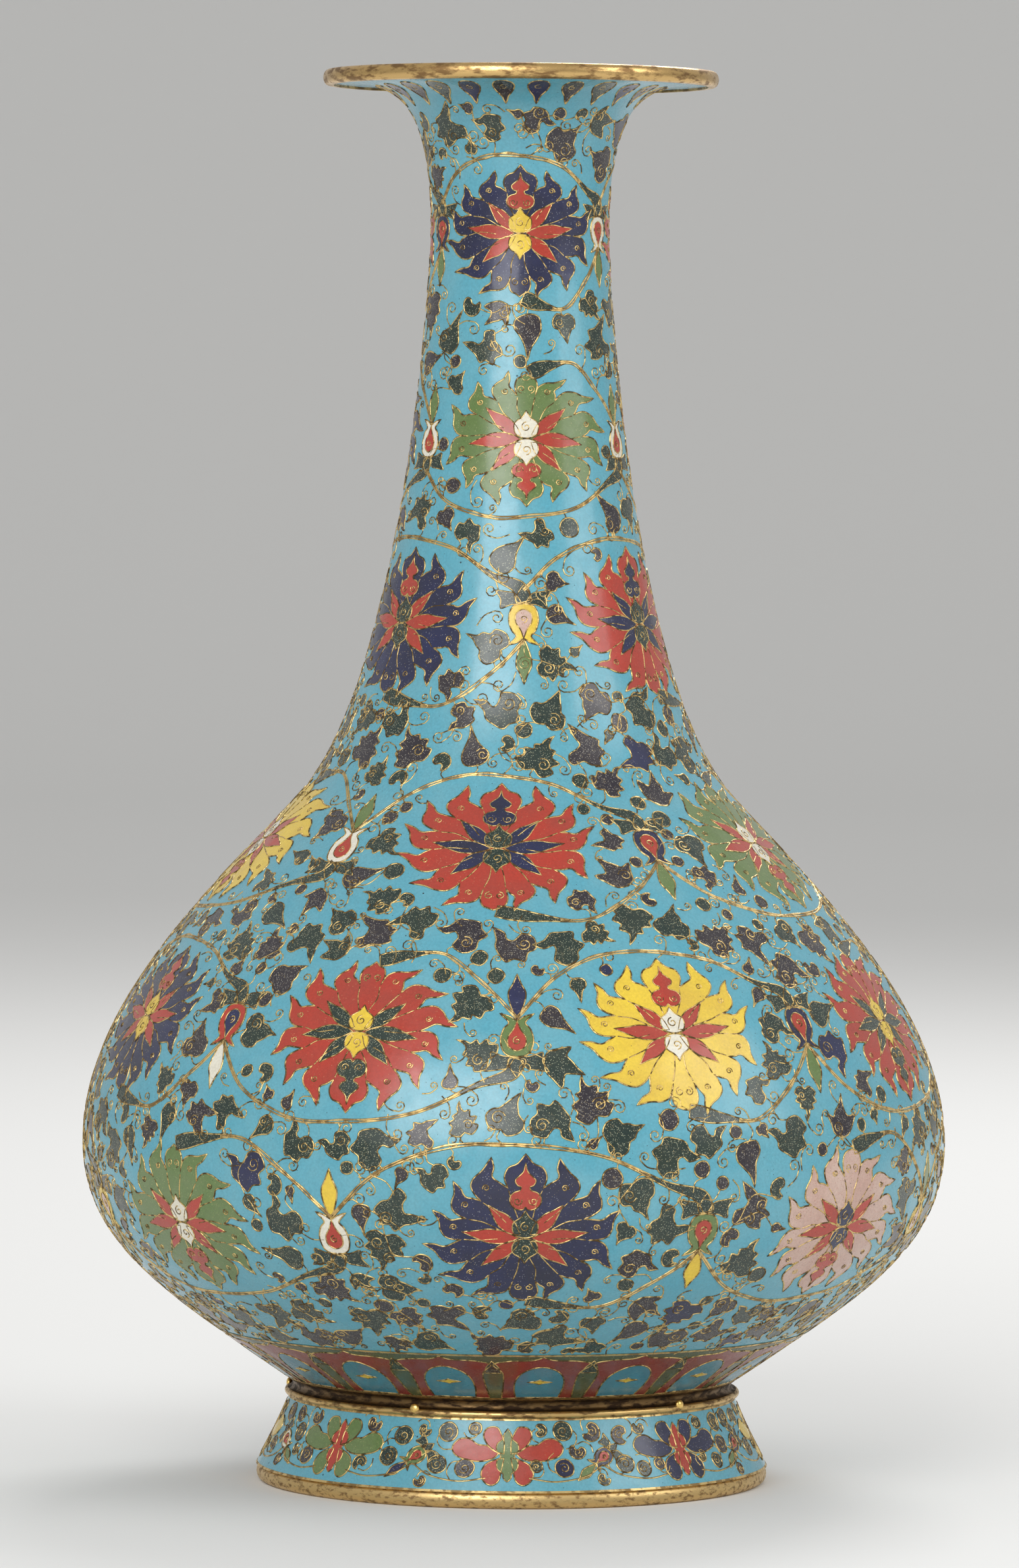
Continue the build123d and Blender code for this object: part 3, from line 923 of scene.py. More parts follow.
def stem(zone, path, covered):
    """A stem along a path. A sheath covers its last places."""
    places = smooth(path, (), False, 10)
    bare = places[: len(places) - covered + UNDER_SHEATH]
    run = np.arange(len(bare))
    for distance, wobble in STRANDS:
        wave = np.sin(run * 0.47 + chance.uniform(0, 6)) * np.sin(run * np.pi / len(run))
        sway = distance + wobble * wave
        wire(zone, offset(bare, sway), 1, width=STEM, metal="stem")
    note_stem(places)
    sheath(zone, places[-covered:])


def between(first, last, share):
    """The value part of the way from one to another."""
    return first + (last - first) * share


# %% [markdown]
# Leaves may not grow into a flower or a bud, so each leaves a trail of obstacles behind it: points with
# the distance that a leaf has to keep from them.


# %% Room for flowers and buds
def guard_lotus(spot, wide, high):
    """Keeps leaves off a lotus: off its edge, and off two rings inside it.

    The ring is drawn anew, so its petals differ from those of the lotus by a hair.
    """
    rim = lotus_ring(wide, high)[0]
    for place in spot.lay(rim * 0.8), spot.lay(rim * 0.4):
        points = vessel.place(place[:, 0], place[:, 1], 0)
        obstacles.extend((Vector(point), 0.22 * high * MM) for point in points[::2])
    edge = vessel.place(*spot.lay(rim).T, 0)
    obstacles.extend((Vector(point), 0.7 * MM) for point in edge)


def guard_bud(turn, level, points_to, bud_size):
    """Keeps leaves off a bud, from its base to the tip of its spindle."""
    for step in np.linspace(-11, 21, 14):
        point = vessel.place(np.array([turn]), np.array([level + points_to * step * bud_size]), 0)[0]
        obstacles.append((Vector(point), (5.4 if step < 6 else 3.2) * bud_size * MM))


# %% [markdown]
# The stem passes each flower on its cloud's side and comes down into the base of the next bud, which
# points the other way. A second stem leaves that bud and ends under the flower. Both are drawn as a few
# points on the rolled-out surface: turns between the flower and the bud, and levels between the crest,
# the bud and the root.


# %% Drawing a row
def stem_over(zone, turn, start_turn, bud_turn, start, crest, level, base):
    """The stem from the last bud, over a flower, into the next bud."""
    path = [
        (start_turn, start),
        (between(start_turn, turn, 0.26), between(start, crest, 0.62)),
        (between(start_turn, turn, 0.62), between(start, crest, 0.97)),
        (turn, crest),
        (between(turn, bud_turn, 0.42), between(crest, level, 0.12)),
        (between(turn, bud_turn, 0.76), between(crest, level, 0.42)),
        (between(turn, bud_turn, 0.96), between(base, crest, 0.24)),
        (bud_turn, base),
    ]
    stem(zone, path, 26)


def stem_under(zone, turn, bud_turn, joint, root, way):
    """The stem from a bud back to the root of its flower."""
    path = [
        (bud_turn, joint),
        (between(turn, bud_turn, 0.80), between(joint, root, 0.55)),
        (between(turn, bud_turn, 0.50), root - way * 3.4),
        (between(turn, bud_turn, 0.24), root - way * 3.0),
        (turn + 1.2 / vessel.radius(root), root),
    ]
    stem(zone, path, 17)


def draw_row(zone, height, wide, high, bud_size, flowers):
    """Draws the flowers and buds of one row, and the stems that join them."""
    level = vessel.at_height(height)
    for i, (degrees, way, colours, bud_colours) in enumerate(flowers):
        turn = math.radians(degrees)
        next_turn = turn + math.radians((flowers[(i + 1) % len(flowers)][0] - degrees) % 360)
        last_turn = turn - math.radians((degrees - flowers[i - 1][0]) % 360)
        bud_turn = between(turn, next_turn, 0.5)
        spot = Spot(vessel, turn, level, 1.0, 0.0 if way == UP else math.pi)
        lotus(zone, spot, wide, high, *colours)
        guard_lotus(spot, wide, high)

        points_to = -way
        spot = Spot(vessel, bud_turn, level, bud_size, 0.0 if points_to == UP else math.pi)
        bud(zone, spot, *bud_colours)
        guard_bud(bud_turn, level, points_to, bud_size)

        turned_over = flowers[i - 1][1] != way
        start = level + way * (6.0 if turned_over else 13.0) * bud_size
        crest = level + way * (high + 6.5)
        base = level - points_to * 8.5 * bud_size
        stem_over(zone, turn, between(last_turn, turn, 0.5), bud_turn, start, crest, level, base)

        joint = level + points_to * 6.0 * bud_size
        root = level - way * high * 1.06
        stem_under(zone, turn, bud_turn, joint, root, way)


for name, zone, height, wide, high, bud_size, flowers in ROWS:
    draw_row(zone, height, wide, high, bud_size, flowers)
    print(f"{name}: {len(flowers)} flowers and buds")

# %% [markdown]
# ## Borders
# Three narrow bands frame the scroll. Under the lip hang dark pointed leaves. Above the foot runs a band
# of lappets: red arches over blue-green panels, with green between them. The foot has its own row of
# small six-petalled flowers. Each band is one motif and a loop.

# %% Leaves under the lip
PENDANT = ((0.0, 0.0), (0.8, 1.8), (1.4, 3.8), (3.4, 7.0), (4.3, 10.8), (2.8, 14.6), (0.0, 15.8))
pendant_count = 24
pendant_foot = vessel.at_height(535.6)
for i in range(pendant_count):
    turn = math.tau * (i + 0.5) / pendant_count
    spot = Spot(vessel, turn, pendant_foot, 1.0 + chance.uniform(-0.06, 0.05))
    colour = chance.choice(("green", "navy", "plum"))
    cell("lip", colour, spot.lay(smooth(mirrored(PENDANT), (0,), True, 4)), 1)
    wire("lip", spot.lay(spiral((0, 9.6), 1.7, 90, 1.3)), 1, width=FINE)
    point = vessel.place(*spot.lay([(0, 1)]).T, 0)[0]
    obstacles.append((Vector(point), 1.5 * MM))
print(pendant_count, "leaves under the lip")

# %% [markdown]
# A lappet is nested arches: the red arch is a cell as tall as the band, and its panel is a smaller cell
# on top of it, with a little yellow leaf in the middle. The spandrels between the arches are the band's
# green ground, laid as narrow strips side by side so that each stays flat to the curve. The arches' red
# and the spandrels' green are darker copies of the red and the leaf green: the shade under the belly is
# painted into them.

# %% Lappets
lappet_count = 18
lappet_first = 6  # degrees from the front
lappet_half = math.pi / lappet_count
band = lappet_top - coat_bottom
ARCH = ((0.86, 0.01), (0.80, 0.34), (0.80, 0.62), (0.98, 0.82), (0.66, 0.90), (0.22, 0.92), (0.0, 0.99))
PANEL = ((0.52, 0.03), (0.56, 0.26), (0.50, 0.50), (0.30, 0.68), (0.0, 0.76))
WEDGE = ((0.17, 0.62), (0.12, 0.76), (0.0, 0.90))
GLEAM = ((0.0, 1.9), (1.3, 0.9), (4.8, 0.0), (1.3, -0.9), (0.0, -1.6))
STRIP = ((0.17, 0.005), (0.17, 0.995))
strip_count = lappet_count * 6


def lappet_shape(turn, shape, corners):
    """One half of a lappet, as shares of its half width and of the band's height, mirrored and laid."""
    places = [(turn + x * lappet_half, coat_bottom + y * band) for x, y in mirrored(shape)]
    return smooth(places, corners, True, 5)


for i in range(strip_count):
    cell("lappets", "olive", lappet_shape((i + 0.5) * math.tau / strip_count, STRIP, (0, 1, 2, 3)), 1, 0)
for i in range(lappet_count):
    turn = 2 * lappet_half * i + math.radians(lappet_first)
    cell("lappets", "maroon", lappet_shape(turn, ARCH, (0, 6, 12)), 2)
    cell("lappets", "teal", lappet_shape(turn, PANEL, (0, 8)), 3)
    cell("lappets", "green", lappet_shape(turn + lappet_half, WEDGE, (0, 2, 4)), 3, FINE)
    spot = Spot(vessel, turn, coat_bottom + band * 0.40)
    cell("lappets", "yellow", spot.lay(smooth(mirrored(GLEAM), (0, 2, 6), True, 4)), 4, FINE)
print(lappet_count, "lappets on", strip_count, "strips of ground")

# %% [markdown]
# The foot's flowers are seen from the front: six rounded petals round a heart of two lobes. Between them
# are small closed buds on short stems, with ball-shaped leaves scattered round them.

# %% Foot flowers
FOOT_PETALS = (
    ((1.4, 0.8), (1.4, 6.0), (2.6, 9.4), (4.4, 12.2), (8.2, 11.8), (9.8, 8.6), (8.0, 4.6), (5.2, 2.0)),
    ((3.6, 1.0), (8.0, 4.2), (12.0, 4.8), (15.6, 7.2), (19.8, 6.8), (22.6, 3.4), (21.2, 0.0), (16.6, -1.8),
     (11.0, -2.4), (6.0, -1.2)),
    ((1.4, -0.8), (5.2, -1.8), (9.0, -4.0), (10.6, -7.8), (9.2, -11.2), (6.4, -12.6), (3.6, -10.8),
     (2.4, -6.0)),
)
FOOT_HEART = ((0.0, 11.6), (1.5, 9.2), (1.7, 7.4), (4.1, 5.2), (4.4, 2.2), (2.6, 0.0), (4.2, -2.2),
              (4.0, -5.4), (1.8, -7.6), (1.6, -9.4), (0.0, -11.0))
FOOT_COLOURS = (("red", "leaf"), ("navy", "red"), ("yellow", "red"), ("leaf", "red"))
FLOWER_ROOM = ((0, 0), (0, 9), (0, -9), (5, 5), (5, -6), (5, 10), (6, -10), (10, 3), (15, 3), (19, 3))
BUD_ROOM = ((0, -8), (0, -3), (0, 3), (0, 9))
foot_count = 8
foot_first = -1  # degrees from the front
foot_middle = (foot.at_height(foot_low) + foot.at_height(foot_high)) / 2
foot_radius = float(foot.radius(foot_middle))
foot_obstacles = []


def keep_clear(spot, places, clear):
    """Keeps leaves off places about a spot on the foot."""
    points = foot.place(*spot.lay(places).T, 0)
    foot_obstacles.extend((Vector(point), clear * MM) for point in points)


def foot_flower(turn, petals, heart):
    """A flower of six petals."""
    spot = Spot(foot, turn, foot_middle, 0.96 + chance.uniform(-0.02, 0.02))
    for side in (-1, 1):
        for petal in FOOT_PETALS:
            outline = [(side * x, y) for x, y in petal]
            cell("foot", petals, spot.lay(smooth(outline, (0,), True, 4)), 2)
        keep_clear(spot, [(side * x, y) for x, y in FLOWER_ROOM], 3.4)
    cell("foot", heart, spot.lay(smooth(mirrored(FOOT_HEART), (0,), True, 4)), 3, FINE)


def foot_bud(turn):
    """A small bud that hangs over to one side."""
    lean = chance.choice((0.9, -0.9)) + math.pi
    spot = Spot(foot, turn, foot_middle - 1.5, 0.62, lean)
    bud("foot", spot, *chance.choice((WHITE_BUD, NAVY_BUD, LEAF_BUD)))
    keep_clear(spot, BUD_ROOM, 2.8)


def foot_stem(turn, way, middle):
    """A short stem from beside a flower to the bud in the middle."""
    start = turn + way * 8 / foot_radius
    path = [(start, foot_middle - 9), (between(start, middle, 0.35), foot_middle - 10.5),
            (between(start, middle, 0.75), foot_middle - 8.5), (middle, foot_middle - 4)]
    places = smooth(path, (), False, 6)
    wire("foot", places, 1, width=STEM, metal="stem")
    points = foot.place(places[:, 0], places[:, 1], 0)
    foot_obstacles.extend((Vector(point), 0.5 * MM) for point in points[::2])


for i in range(foot_count):
    turn = math.tau * i / foot_count + math.radians(foot_first)
    middle = turn + math.tau / foot_count / 2
    foot_flower(turn, *FOOT_COLOURS[i % len(FOOT_COLOURS)])
    foot_bud(middle)
    foot_stem(turn, 1, middle)
    foot_stem(turn + math.tau / foot_count, -1, middle)
print(foot_count, "flowers and buds on the foot")

# %% [markdown]
# ## Leaves
# Small leaves on curling tendrils fill every gap in the scroll. The enameller bent each one by eye from a
# few patterns, so here are eight outlines about one unit in radius, with the corners at which the wire
# nips. A tip points up, and a stalk joins at the bottom. Most leaves are dark green, many are plum and a
# few are navy.

# %% Leaf shapes
LEAVES = {
    "heart": (((0.0, -0.80), (-0.45, -0.95), (-0.88, -0.55), (-0.80, -0.05), (-0.48, 0.12), (-0.36, 0.42),
               (-0.12, 0.70), (0.10, 1.18), (0.16, 0.74), (0.38, 0.42), (0.52, 0.18), (0.86, 0.0),
               (0.90, -0.55), (0.44, -0.92)), (0, 7)),
    "horned": (((0.0, -0.90), (-0.46, -0.78), (-0.76, -0.36), (-1.05, 0.10), (-0.56, 0.04), (-0.42, 0.36),
                (-0.20, 0.70), (0.04, 1.22), (0.16, 0.60), (0.42, 0.28), (1.00, 0.42), (0.80, -0.20),
                (0.50, -0.68)), (0, 7)),
    "comma": (((0.25, -0.95), (-0.40, -0.85), (-0.80, -0.25), (-0.62, 0.45), (0.0, 0.80), (0.55, 0.62),
               (0.62, 0.15), (0.25, -0.05), (0.20, -0.40), (0.55, -0.70)), (9,)),
    "ball": (((0.0, -0.86), (-0.62, -0.66), (-0.84, 0.0), (-0.56, 0.64), (0.05, 0.86), (0.64, 0.58),
              (0.84, -0.06), (0.56, -0.66)), ()),
    "ivy": (((0.0, -0.82), (-0.50, -1.02), (-0.98, -0.62), (-0.76, -0.34), (-1.02, 0.02), (-0.60, 0.18),
             (-0.62, 0.54), (-0.26, 0.60), (-0.10, 0.92), (-0.16, 1.34), (0.14, 0.92), (0.20, 0.60),
             (0.54, 0.50), (0.46, 0.20), (0.90, 0.08), (0.78, -0.28), (1.02, -0.62), (0.50, -1.0)), (0, 9)),
    "wing": (((-0.05, -1.05), (-0.30, -0.62), (-0.72, -0.50), (-1.12, -0.10), (-0.84, 0.18), (-0.90, 0.60),
              (-0.42, 0.62), (-0.20, 0.92), (0.22, 0.70), (0.66, 0.62), (1.42, 0.48), (0.80, 0.18),
              (0.40, 0.08), (0.34, -0.34), (0.50, -0.74), (0.24, -1.08)), (10,)),
    "scroll": (((0.0, -0.90), (-0.58, -0.92), (-0.98, -0.40), (-0.78, 0.02), (-0.94, 0.50), (-0.42, 0.66),
                (-0.18, 1.00), (0.34, 0.78), (0.78, 0.50), (0.90, 0.02), (1.38, -0.42), (0.78, -0.46),
                (0.50, -0.16), (0.20, -0.28), (0.14, -0.62)), (10,)),
    "dart": (((0.0, -0.95), (-0.50, -0.80), (-0.62, -0.30), (-0.30, 0.20), (-0.12, 0.75), (0.0, 1.35),
              (0.14, 0.75), (0.40, 0.30), (0.70, -0.20), (0.55, -0.78)), (5,)),
}
BIG_LEAVES = ("ivy", "wing", "heart", "horned", "scroll", "wing", "scroll", "ivy", "dart")
SMALL_LEAVES = ("ball", "comma", "ball", "heart", "ball", "comma", "dart", "ball")
LEAF_COLOURS = ("green",) * 13 + ("plum",) * 9 + ("navy",)
print(len(LEAVES), "leaf shapes")

# %% [markdown]
# The leaves lie evenly but never in rows. They are dealt out by throwing darts: a random place on the
# vase is kept if it is clear of the flowers, the stems and the leaves already there. The largest go
# first. The darts are seeded, so the vase comes out the same every time.

# %% Throwing darts
MOST_DARTS = 4000
AREA_STEPS = 200
LEAF_REACH = 0.8  # how far a leaf reaches up and down, as a share of its radius
WIDEST_ROOM = 8.0  # no obstacle needs more, in mm


def tree_of(points):
    """A search tree over points."""
    tree = KDTree(len(points))
    for i, point in enumerate(points):
        tree.insert(point, i)
    tree.balance()
    return tree


def throw_darts(surface, low, high, blocked, sizes, throws):
    """Places for leaves as (turn, distance along, radius in mm, point), largest first."""
    tree = tree_of([point for point, _ in blocked])
    areas = np.cumsum(surface.radius(np.linspace(low, high, AREA_STEPS)))
    kept = []
    places = np.zeros((MOST_DARTS, 4))
    for size, gap in sizes:
        for _ in range(throws):
            share = chance.random() * areas[-1]
            along = low + (high - low) * float(np.searchsorted(areas, share)) / (AREA_STEPS - 1)
            turn = chance.random() * math.tau
            if along - size * LEAF_REACH < low or along + size * LEAF_REACH > high:
                continue
            point = Vector(surface.place(np.array([turn]), np.array([along]), 0)[0])
            room = (size + gap) * MM
            if any(d < room + blocked[i][1] for _, i, d in tree.find_range(point, room + WIDEST_ROOM * MM)):
                continue
            others = places[: len(kept)]
            if (np.linalg.norm(others[:, :3] - point, axis=1) < room + others[:, 3]).any():
                continue
            places[len(kept)] = (*point, size * MM)
            kept.append((turn, along, size, point))
    return kept


# %% [markdown]
# Each leaf hangs on a tendril that springs from the nearest stem, or from a neighbour's base if that is
# much nearer, so that the leaves join up into sprays. The leaves nearest to a stem are drawn first. About
# half of the tendrils put out a curl on their way.


# %% Growing leaves
BIG_LEAF = 4.5
NEARER = 0.8  # a neighbour has to be nearer than this share of the way to a stem
TENDRIL_CURL = spiral((2.8, 0.0), 2.8, 180, 1.4, 14)
LEAF_CURL = spiral((-0.34, -0.36), 0.36, 40, 1.4)


def tendril(start, end, sway):
    """A curved line from one place to another, bent to one side."""
    radius = vessel.radius(end[1])
    across, rise = (end[0] - start[0]) * radius, end[1] - start[1]
    side = np.array((-rise / radius, across)) * sway
    points = np.array([start, between(np.array(start), np.array(end), 0.5) + side, end])
    return smooth(points, (), False, 7)


def nearest_root(point, turn, tree, bases):
    """The place that a leaf's tendril springs from, with its turn counted the short way to the leaf."""
    place, hit = network[tree.find(point)[1]]
    best = min(bases, key=lambda base: (base[1] - point).length, default=None)
    if best and (best[1] - point).length < (hit - point).length * NEARER:
        place = best[0]
    place = np.array(place, float)
    place[0] += math.tau * round((turn - place[0]) / math.tau)
    return place


def draw_leaf(zone, turn, along, size, aim):
    """One leaf that points along its aim. Returns the place of its base."""
    big = size > BIG_LEAF
    shape, corners = LEAVES[chance.choice(BIG_LEAVES if big else SMALL_LEAVES)]
    shape = [(x + chance.uniform(-0.05, 0.05), y + chance.uniform(-0.05, 0.05)) for x, y in shape]
    spot = Spot(vessel, turn, along, size, aim, chance.random() < 0.5)
    cell(zone, chance.choice(LEAF_COLOURS), spot.lay(smooth(shape, corners, True, 3)), 1)
    if big and chance.random() < 0.6:
        wire(zone, spot.lay(LEAF_CURL), 1, width=FINE)
    return spot.lay([(0.0, -0.82)])[0]


def grow_leaves(kept):
    """Draws each leaf of the vessel, and its tendril."""
    tree = tree_of([point for _, point in network])
    bases = []
    for turn, along, size, point in sorted(kept, key=lambda leaf: tree.find(leaf[3])[2]):
        place = nearest_root(point, turn, tree, bases)
        zone = vessel_zone(along)
        aim = math.atan2(along - place[1], (turn - place[0]) * vessel.radius(along)) - math.pi / 2
        aim += chance.uniform(-0.9, 0.9)
        base = draw_leaf(zone, turn, along, size, aim)
        sway = chance.choice((-1, 1)) * chance.uniform(0.15, 0.34)
        line = tendril(place, base, sway)
        wire(zone, line, 1, width=FINE)
        if chance.random() < 0.55:
            middle = Spot(vessel, *line[len(line) // 2], 1.0, aim, sway > 0)
            wire(zone, middle.lay(TENDRIL_CURL), 1, width=FINE)
        bases.append((tuple(base), point))


# %% [markdown]
# A leaf belongs to the zone that it lies in. The shoulder is so large that its lower part is a zone of
# its own, the flank, or its wires would make too heavy a piece.

# %% Leaves on the vessel
flank_line = vessel.at_height(219.0)


def vessel_zone(along):
    """The zone that a place on the vessel belongs to."""
    if along < belly_line:
        return "belly"
    if along < flank_line:
        return "flank"
    return "shoulder" if along < neck_line else "neck"


# radius of a leaf and the gap round it, in mm
leaf_sizes = [(7.9, 0.1), (6.7, 0.0), (5.5, 0.1), (4.5, 0.2), (3.7, 0.3), (2.9, 0.3)]
scroll_low = lappet_top + wire_width + 1.0
leaves = throw_darts(vessel, scroll_low, pendant_foot + 1.0, obstacles, leaf_sizes, 8000)
grow_leaves(leaves)
print(len(leaves), "leaves on the vessel")

# %% [markdown]
# The foot is too low for long tendrils, so its round leaves each have only a short tail of wire and a
# curl.

# %% Leaves on the foot
LEAF_TAIL = ((0.7, -0.4), (1.3, 0.2), (1.2, 1.1), (0.5, 1.6))
foot_leaf_sizes = [(4.3, 0.2), (3.6, 0.2), (2.8, 0.2)]
foot_start = foot.at_height(foot_low) + 0.6
foot_end = foot.at_height(foot_high) - 0.6
foot_leaves = throw_darts(foot, foot_start, foot_end, foot_obstacles, foot_leaf_sizes, 2500)
for turn, along, size, point in foot_leaves:
    spot = Spot(foot, turn, along, size, chance.uniform(0, math.tau), chance.random() < 0.5)
    shape, corners = LEAVES[chance.choice(("ball", "comma", "ball"))]
    cell("foot", chance.choice(LEAF_COLOURS), spot.lay(smooth(shape, corners, True, 4)), 1)
    wire("foot", spot.lay(smooth(LEAF_TAIL, (), False, 5)), 1, width=FINE)
    wire("foot", spot.lay(spiral((0.0, 0.0), 0.5, 60, 1.3)), 1, width=FINE)
print(len(foot_leaves), "leaves on the foot")

# %% [markdown]
# Gaps too narrow for a leaf are filled by wire alone: a short tendril that ends in a curl. On the real
# vase these curls also hold the enamel, because a wide plain field of it cracks as it cools.

# %% Curls in the gaps
CURL_TAIL = ((-0.35, -2.6), (0.65, -1.4), (0.85, 0.0))
curl_sizes = [(3.2, 0.0), (2.6, 0.0), (2.0, 0.2)]
leaf_room = 0.74  # as a share of the leaf's radius
taken = obstacles + [(point, size * leaf_room * MM) for turn, along, size, point in leaves]
curls = throw_darts(vessel, scroll_low, pendant_foot, taken, curl_sizes, 4000)
curl_line = np.vstack((smooth(CURL_TAIL, (), False, 3)[:-1], spiral((0.0, 0.0), 0.85, 0, 1.3, 12)))
for turn, along, size, point in curls:
    spot = Spot(vessel, turn, along, size, chance.uniform(0, math.tau), chance.random() < 0.5)
    wire(vessel_zone(along), spot.lay(curl_line), 1, width=FINE)
print(len(curls), "curls in the gaps")

# %% [markdown]
# ## Filling the cells
# Each outline becomes one flat face, is cut into a grid by bisecting it, and gets its thickness by
# extruding. Only then is it laid on the vase, so that the wide petals bend with the surface while small
# leaves cost only a few faces. The pitch of the grid follows the radius: a narrow neck needs closer cuts
# than the belly. A cut is moved by a hair, so that it doesn't run along a row of the outline's own
# points.

# %% Cells to meshes
CELL_SINK = 0.12  # how deep a slab reaches into the ground, in mm
SAG = 0.045  # how far a flat facet may cut in under the round, in mm
CUT_HEIGHT = 5.0
surfaces = {zone: vessel for zone in ("neck", "shoulder", "flank", "belly", "lip", "lappets")}
surfaces["foot"] = foot


def cut_grid(bm, geometry, flat, pitch):
    """Cuts a flat face along a grid, and returns all its parts."""
    low, high = flat.min(axis=0), flat.max(axis=0)
    for axis in (0, 1):
        count = int((high[axis] - low[axis]) / pitch[axis])
        for i in range(count):
            at = low[axis] + (high[axis] - low[axis]) * (i + 1) / (count + 1) + 1e-4
            centre = (at, 0, 0) if axis == 0 else (0, at, 0)
            normal = (1, 0, 0) if axis == 0 else (0, 1, 0)
            cut = bmesh.ops.bisect_plane(bm, geom=geometry, plane_co=centre, plane_no=normal, dist=1e-5)
            geometry = cut["geom"]
    return geometry


def fill_cell(surface, places, height):
    """One cell as a closed slab laid on the surface, in a bmesh of its own."""
    bm = bmesh.new()
    radius = float(surface.radius(places[:, 1].mean()))
    flat = np.column_stack((places[:, 0] * radius, places[:, 1]))
    corners = [bm.verts.new((x, y, 0)) for x, y in flat]
    face = bm.faces.new(corners)
    face.normal_update()
    if face.normal.z < 0:
        face.normal_flip()
    pitch = (math.sqrt(8 * SAG * radius), CUT_HEIGHT)
    geometry = cut_grid(bm, corners + list(face.edges) + [face], flat, pitch)
    under = [part for part in geometry if isinstance(part, bmesh.types.BMVert)]
    faces = [part for part in geometry if isinstance(part, bmesh.types.BMFace)]
    raised = bmesh.ops.extrude_face_region(bm, geom=faces, use_keep_orig=True)["geom"]
    bmesh.ops.reverse_faces(bm, faces=faces)
    over = [part for part in raised if isinstance(part, bmesh.types.BMVert)]
    bmesh.ops.triangulate(bm, faces=bm.faces[:])
    for verts, lift in ((under, -CELL_SINK), (over, height)):
        points = surface.place(*np.array([(v.co.x / radius, v.co.y) for v in verts]).T, lift)
        for vert, point in zip(verts, points):
            vert.co = point
    return bm


def fill(zone, colour, outlines):
    """Makes one piece of enamel from all the outlines of a colour in a zone."""
    whole = bmesh.new()
    slab = bpy.data.meshes.new("slab")
    for places, height in outlines:
        bm = fill_cell(surfaces[zone], places, height)
        bm.to_mesh(slab)
        bm.free()
        whole.from_mesh(slab)
    bpy.data.meshes.remove(slab)
    name = f"{zone}_{colour}_cells"
    count = len(whole.faces)
    finish_piece(name, mesh_from(whole, name), ENAMELS[colour])
    return count


total = 0
for (zone, colour), outlines in sorted(cells.items()):
    total += fill(zone, colour, outlines)
print(len(cells), "pieces of enamel,", sum(len(o) for o in cells.values()), "cells,", total, "triangles")

# %% [markdown]
# ## Setting the wires
# A wire is a curve with a bevel: a Blender curve sweeps its section along every run at once, and a closed
# run closes on itself. The curve is made a mesh straight away, so that the finished piece is a plain
# mesh.

# %% Wires to meshes
METALS = {"cloison": WIRE_METAL, "stem": STEM_METAL}
WIRE_SINK = 0.13  # how far a wire's middle lies under the top of its enamel, in mm


def set_wires(zone, metal, width, runs):
    """Makes one piece of wire from all the runs of a width and metal in a zone."""
    name = f"{zone}_{metal}_wire_{round(width * 100)}"
    data = bpy.data.curves.new(name, "CURVE")
    data.dimensions = "3D"
    data.bevel_depth = width / 2 * MM
    data.bevel_resolution = 0
    data.use_fill_caps = True
    for places, closed, lift in runs:
        points = surfaces[zone].place(places[:, 0], places[:, 1], lift - WIRE_SINK)
        spline = data.splines.new("POLY")
        spline.points.add(len(points) - 1)
        spline.points.foreach_set("co", np.column_stack((points, np.ones(len(points)))).ravel())
        spline.use_cyclic_u = closed
    holder = add_object(name + "_line", data)
    bpy.context.view_layer.update()
    mesh = bpy.data.meshes.new_from_object(holder.evaluated_get(bpy.context.evaluated_depsgraph_get()))
    bpy.data.objects.remove(holder)
    bpy.data.curves.remove(data)
    mesh.name = name
    mesh.polygons.foreach_set("use_smooth", np.ones(len(mesh.polygons), bool))
    finish_piece(name, mesh, METALS[metal])
    return len(mesh.polygons) * 2


total = 0
for (zone, metal, width), runs in sorted(wires.items()):
    count = set_wires(zone, metal, width, runs)
    total += count
    print(f"{zone} {metal} {width}: {len(runs)} runs, {count} triangles")
print(total, "triangles of wire")

# %% [markdown]
# ## The studio
# The vase stands on a round pale floor whose edge curves up all round, so that it has a plain background
# from every side. The floor is a line spun like the mounts, but left open at its rim.


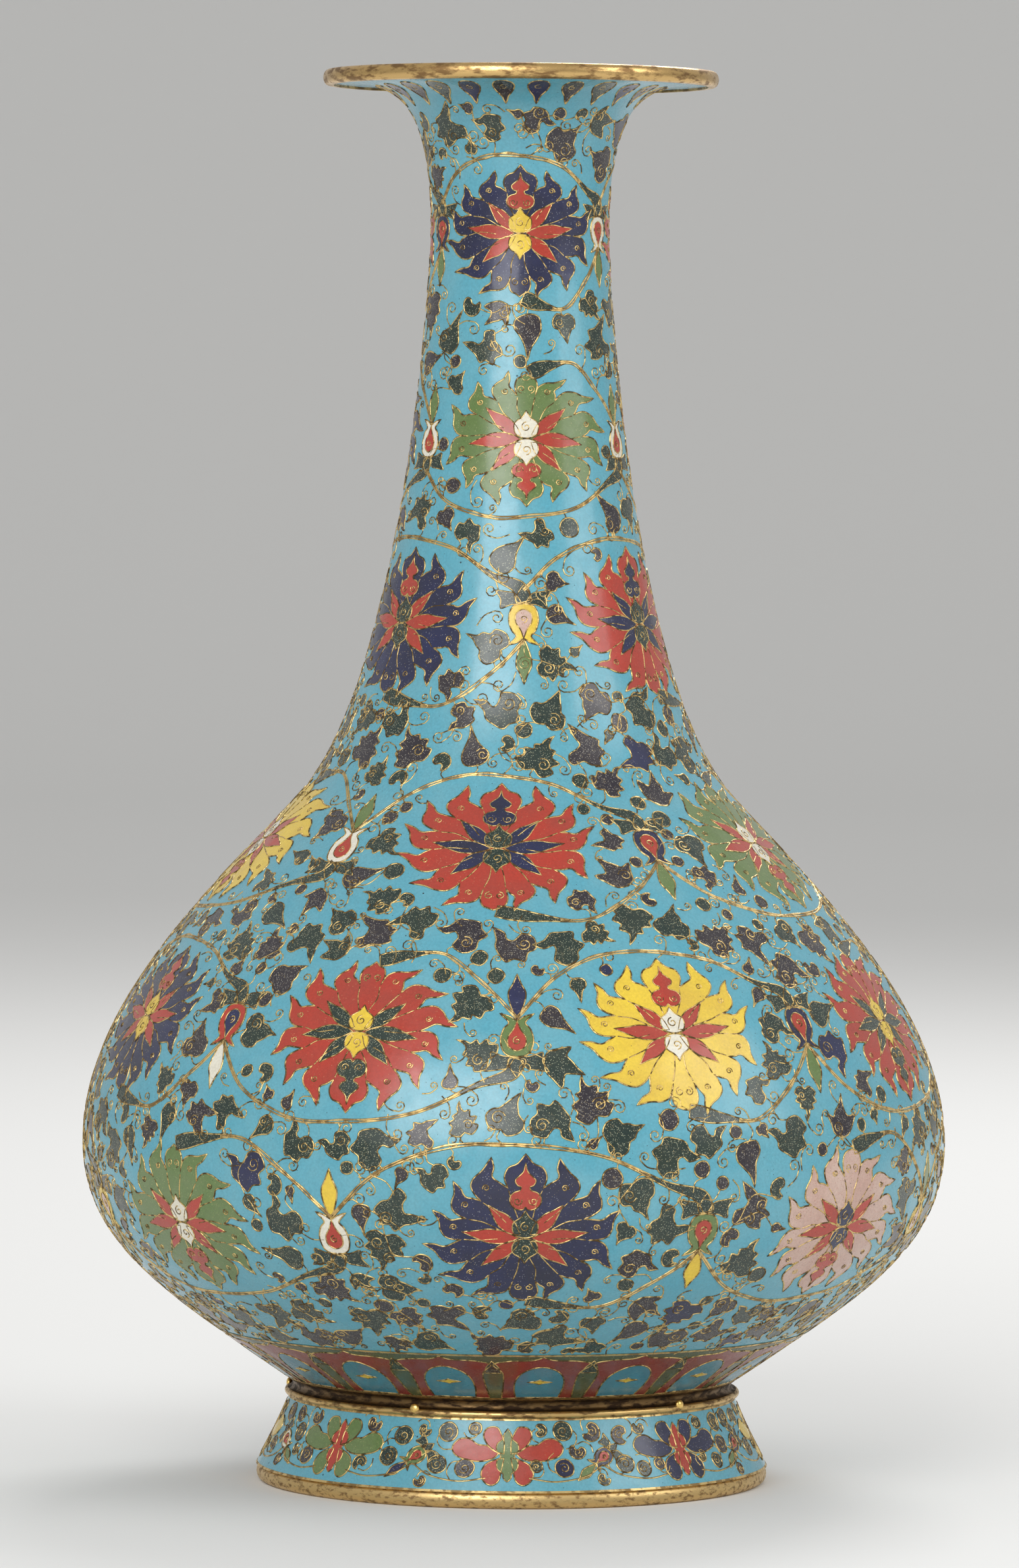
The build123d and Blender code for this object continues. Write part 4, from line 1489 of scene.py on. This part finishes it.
# %% Floor
FLOOR_FLAT, FLOOR_BEND = 6.5, 2.4  # in metres
FLOOR_STEPS = 96
FLOOR_WHITE = (0.80, 0.80, 0.79, 1)


def studio_floor():
    """A round floor whose edge is bent up."""
    bm = bmesh.new()
    bend = [(FLOOR_BEND * math.sin(a), FLOOR_BEND * math.cos(a)) for a in np.linspace(0.12, 1.45, 14)]
    profile = [(0.0, 0.0), (FLOOR_FLAT, 0.0)] + [(FLOOR_FLAT + x, FLOOR_BEND - z) for x, z in bend]
    line = [bm.verts.new((x, 0, z)) for x, z in profile]
    edges = [bm.edges.new(pair) for pair in zip(line, line[1:])]
    spin_round(bm, line, edges, FLOOR_STEPS)
    material, _, principled = shader("backdrop_paper", 0.9)
    principled.inputs["Base Color"].default_value = FLOOR_WHITE
    mesh = mesh_from(bm, "studio_floor")
    mesh.materials.append(material)
    return add_object("studio_floor", mesh)


studio_floor()
print(f"floor {2 * FLOOR_FLAT:.0f} m across before it bends up")

# %% [markdown]
# Three large soft lamps and an even world light the vase at a level where a colour renders about as it is
# written. The camera doesn't see the lamps, but they show as soft streaks on the enamel.

# %% Lamps and world
VASE_MIDDLE = Vector((0, 0, 0.27))
WORLD_LIGHT = (1.0, 0.995, 0.985, 1)
WORLD_STRENGTH = 0.55


def lamp(name, place, size, power):
    """A square area lamp that looks at the vase."""
    light = bpy.data.lights.new(name, "AREA")
    light.size = size
    light.energy = power
    holder = add_object(name, light)
    holder.location = place
    holder.visible_camera = False
    holder.rotation_euler = (VASE_MIDDLE - Vector(place)).to_track_quat("-Z", "Y").to_euler()
    print(f"{name} lamp: {size} m wide, {power} W")


lamp("key", (-0.9, -2.9, 1.7), 1.9, 62)
lamp("fill", (2.4, -1.2, 1.6), 1.6, 22)
lamp("back", (0.6, 2.0, 2.2), 1.2, 30)
world = bpy.data.worlds.new("studio_light")
bpy.context.scene.world = world
world.use_nodes = True
world.node_tree.nodes["Background"].inputs["Color"].default_value = WORLD_LIGHT
world.node_tree.nodes["Background"].inputs["Strength"].default_value = WORLD_STRENGTH
bpy.context.scene.view_settings.view_transform = "Standard"
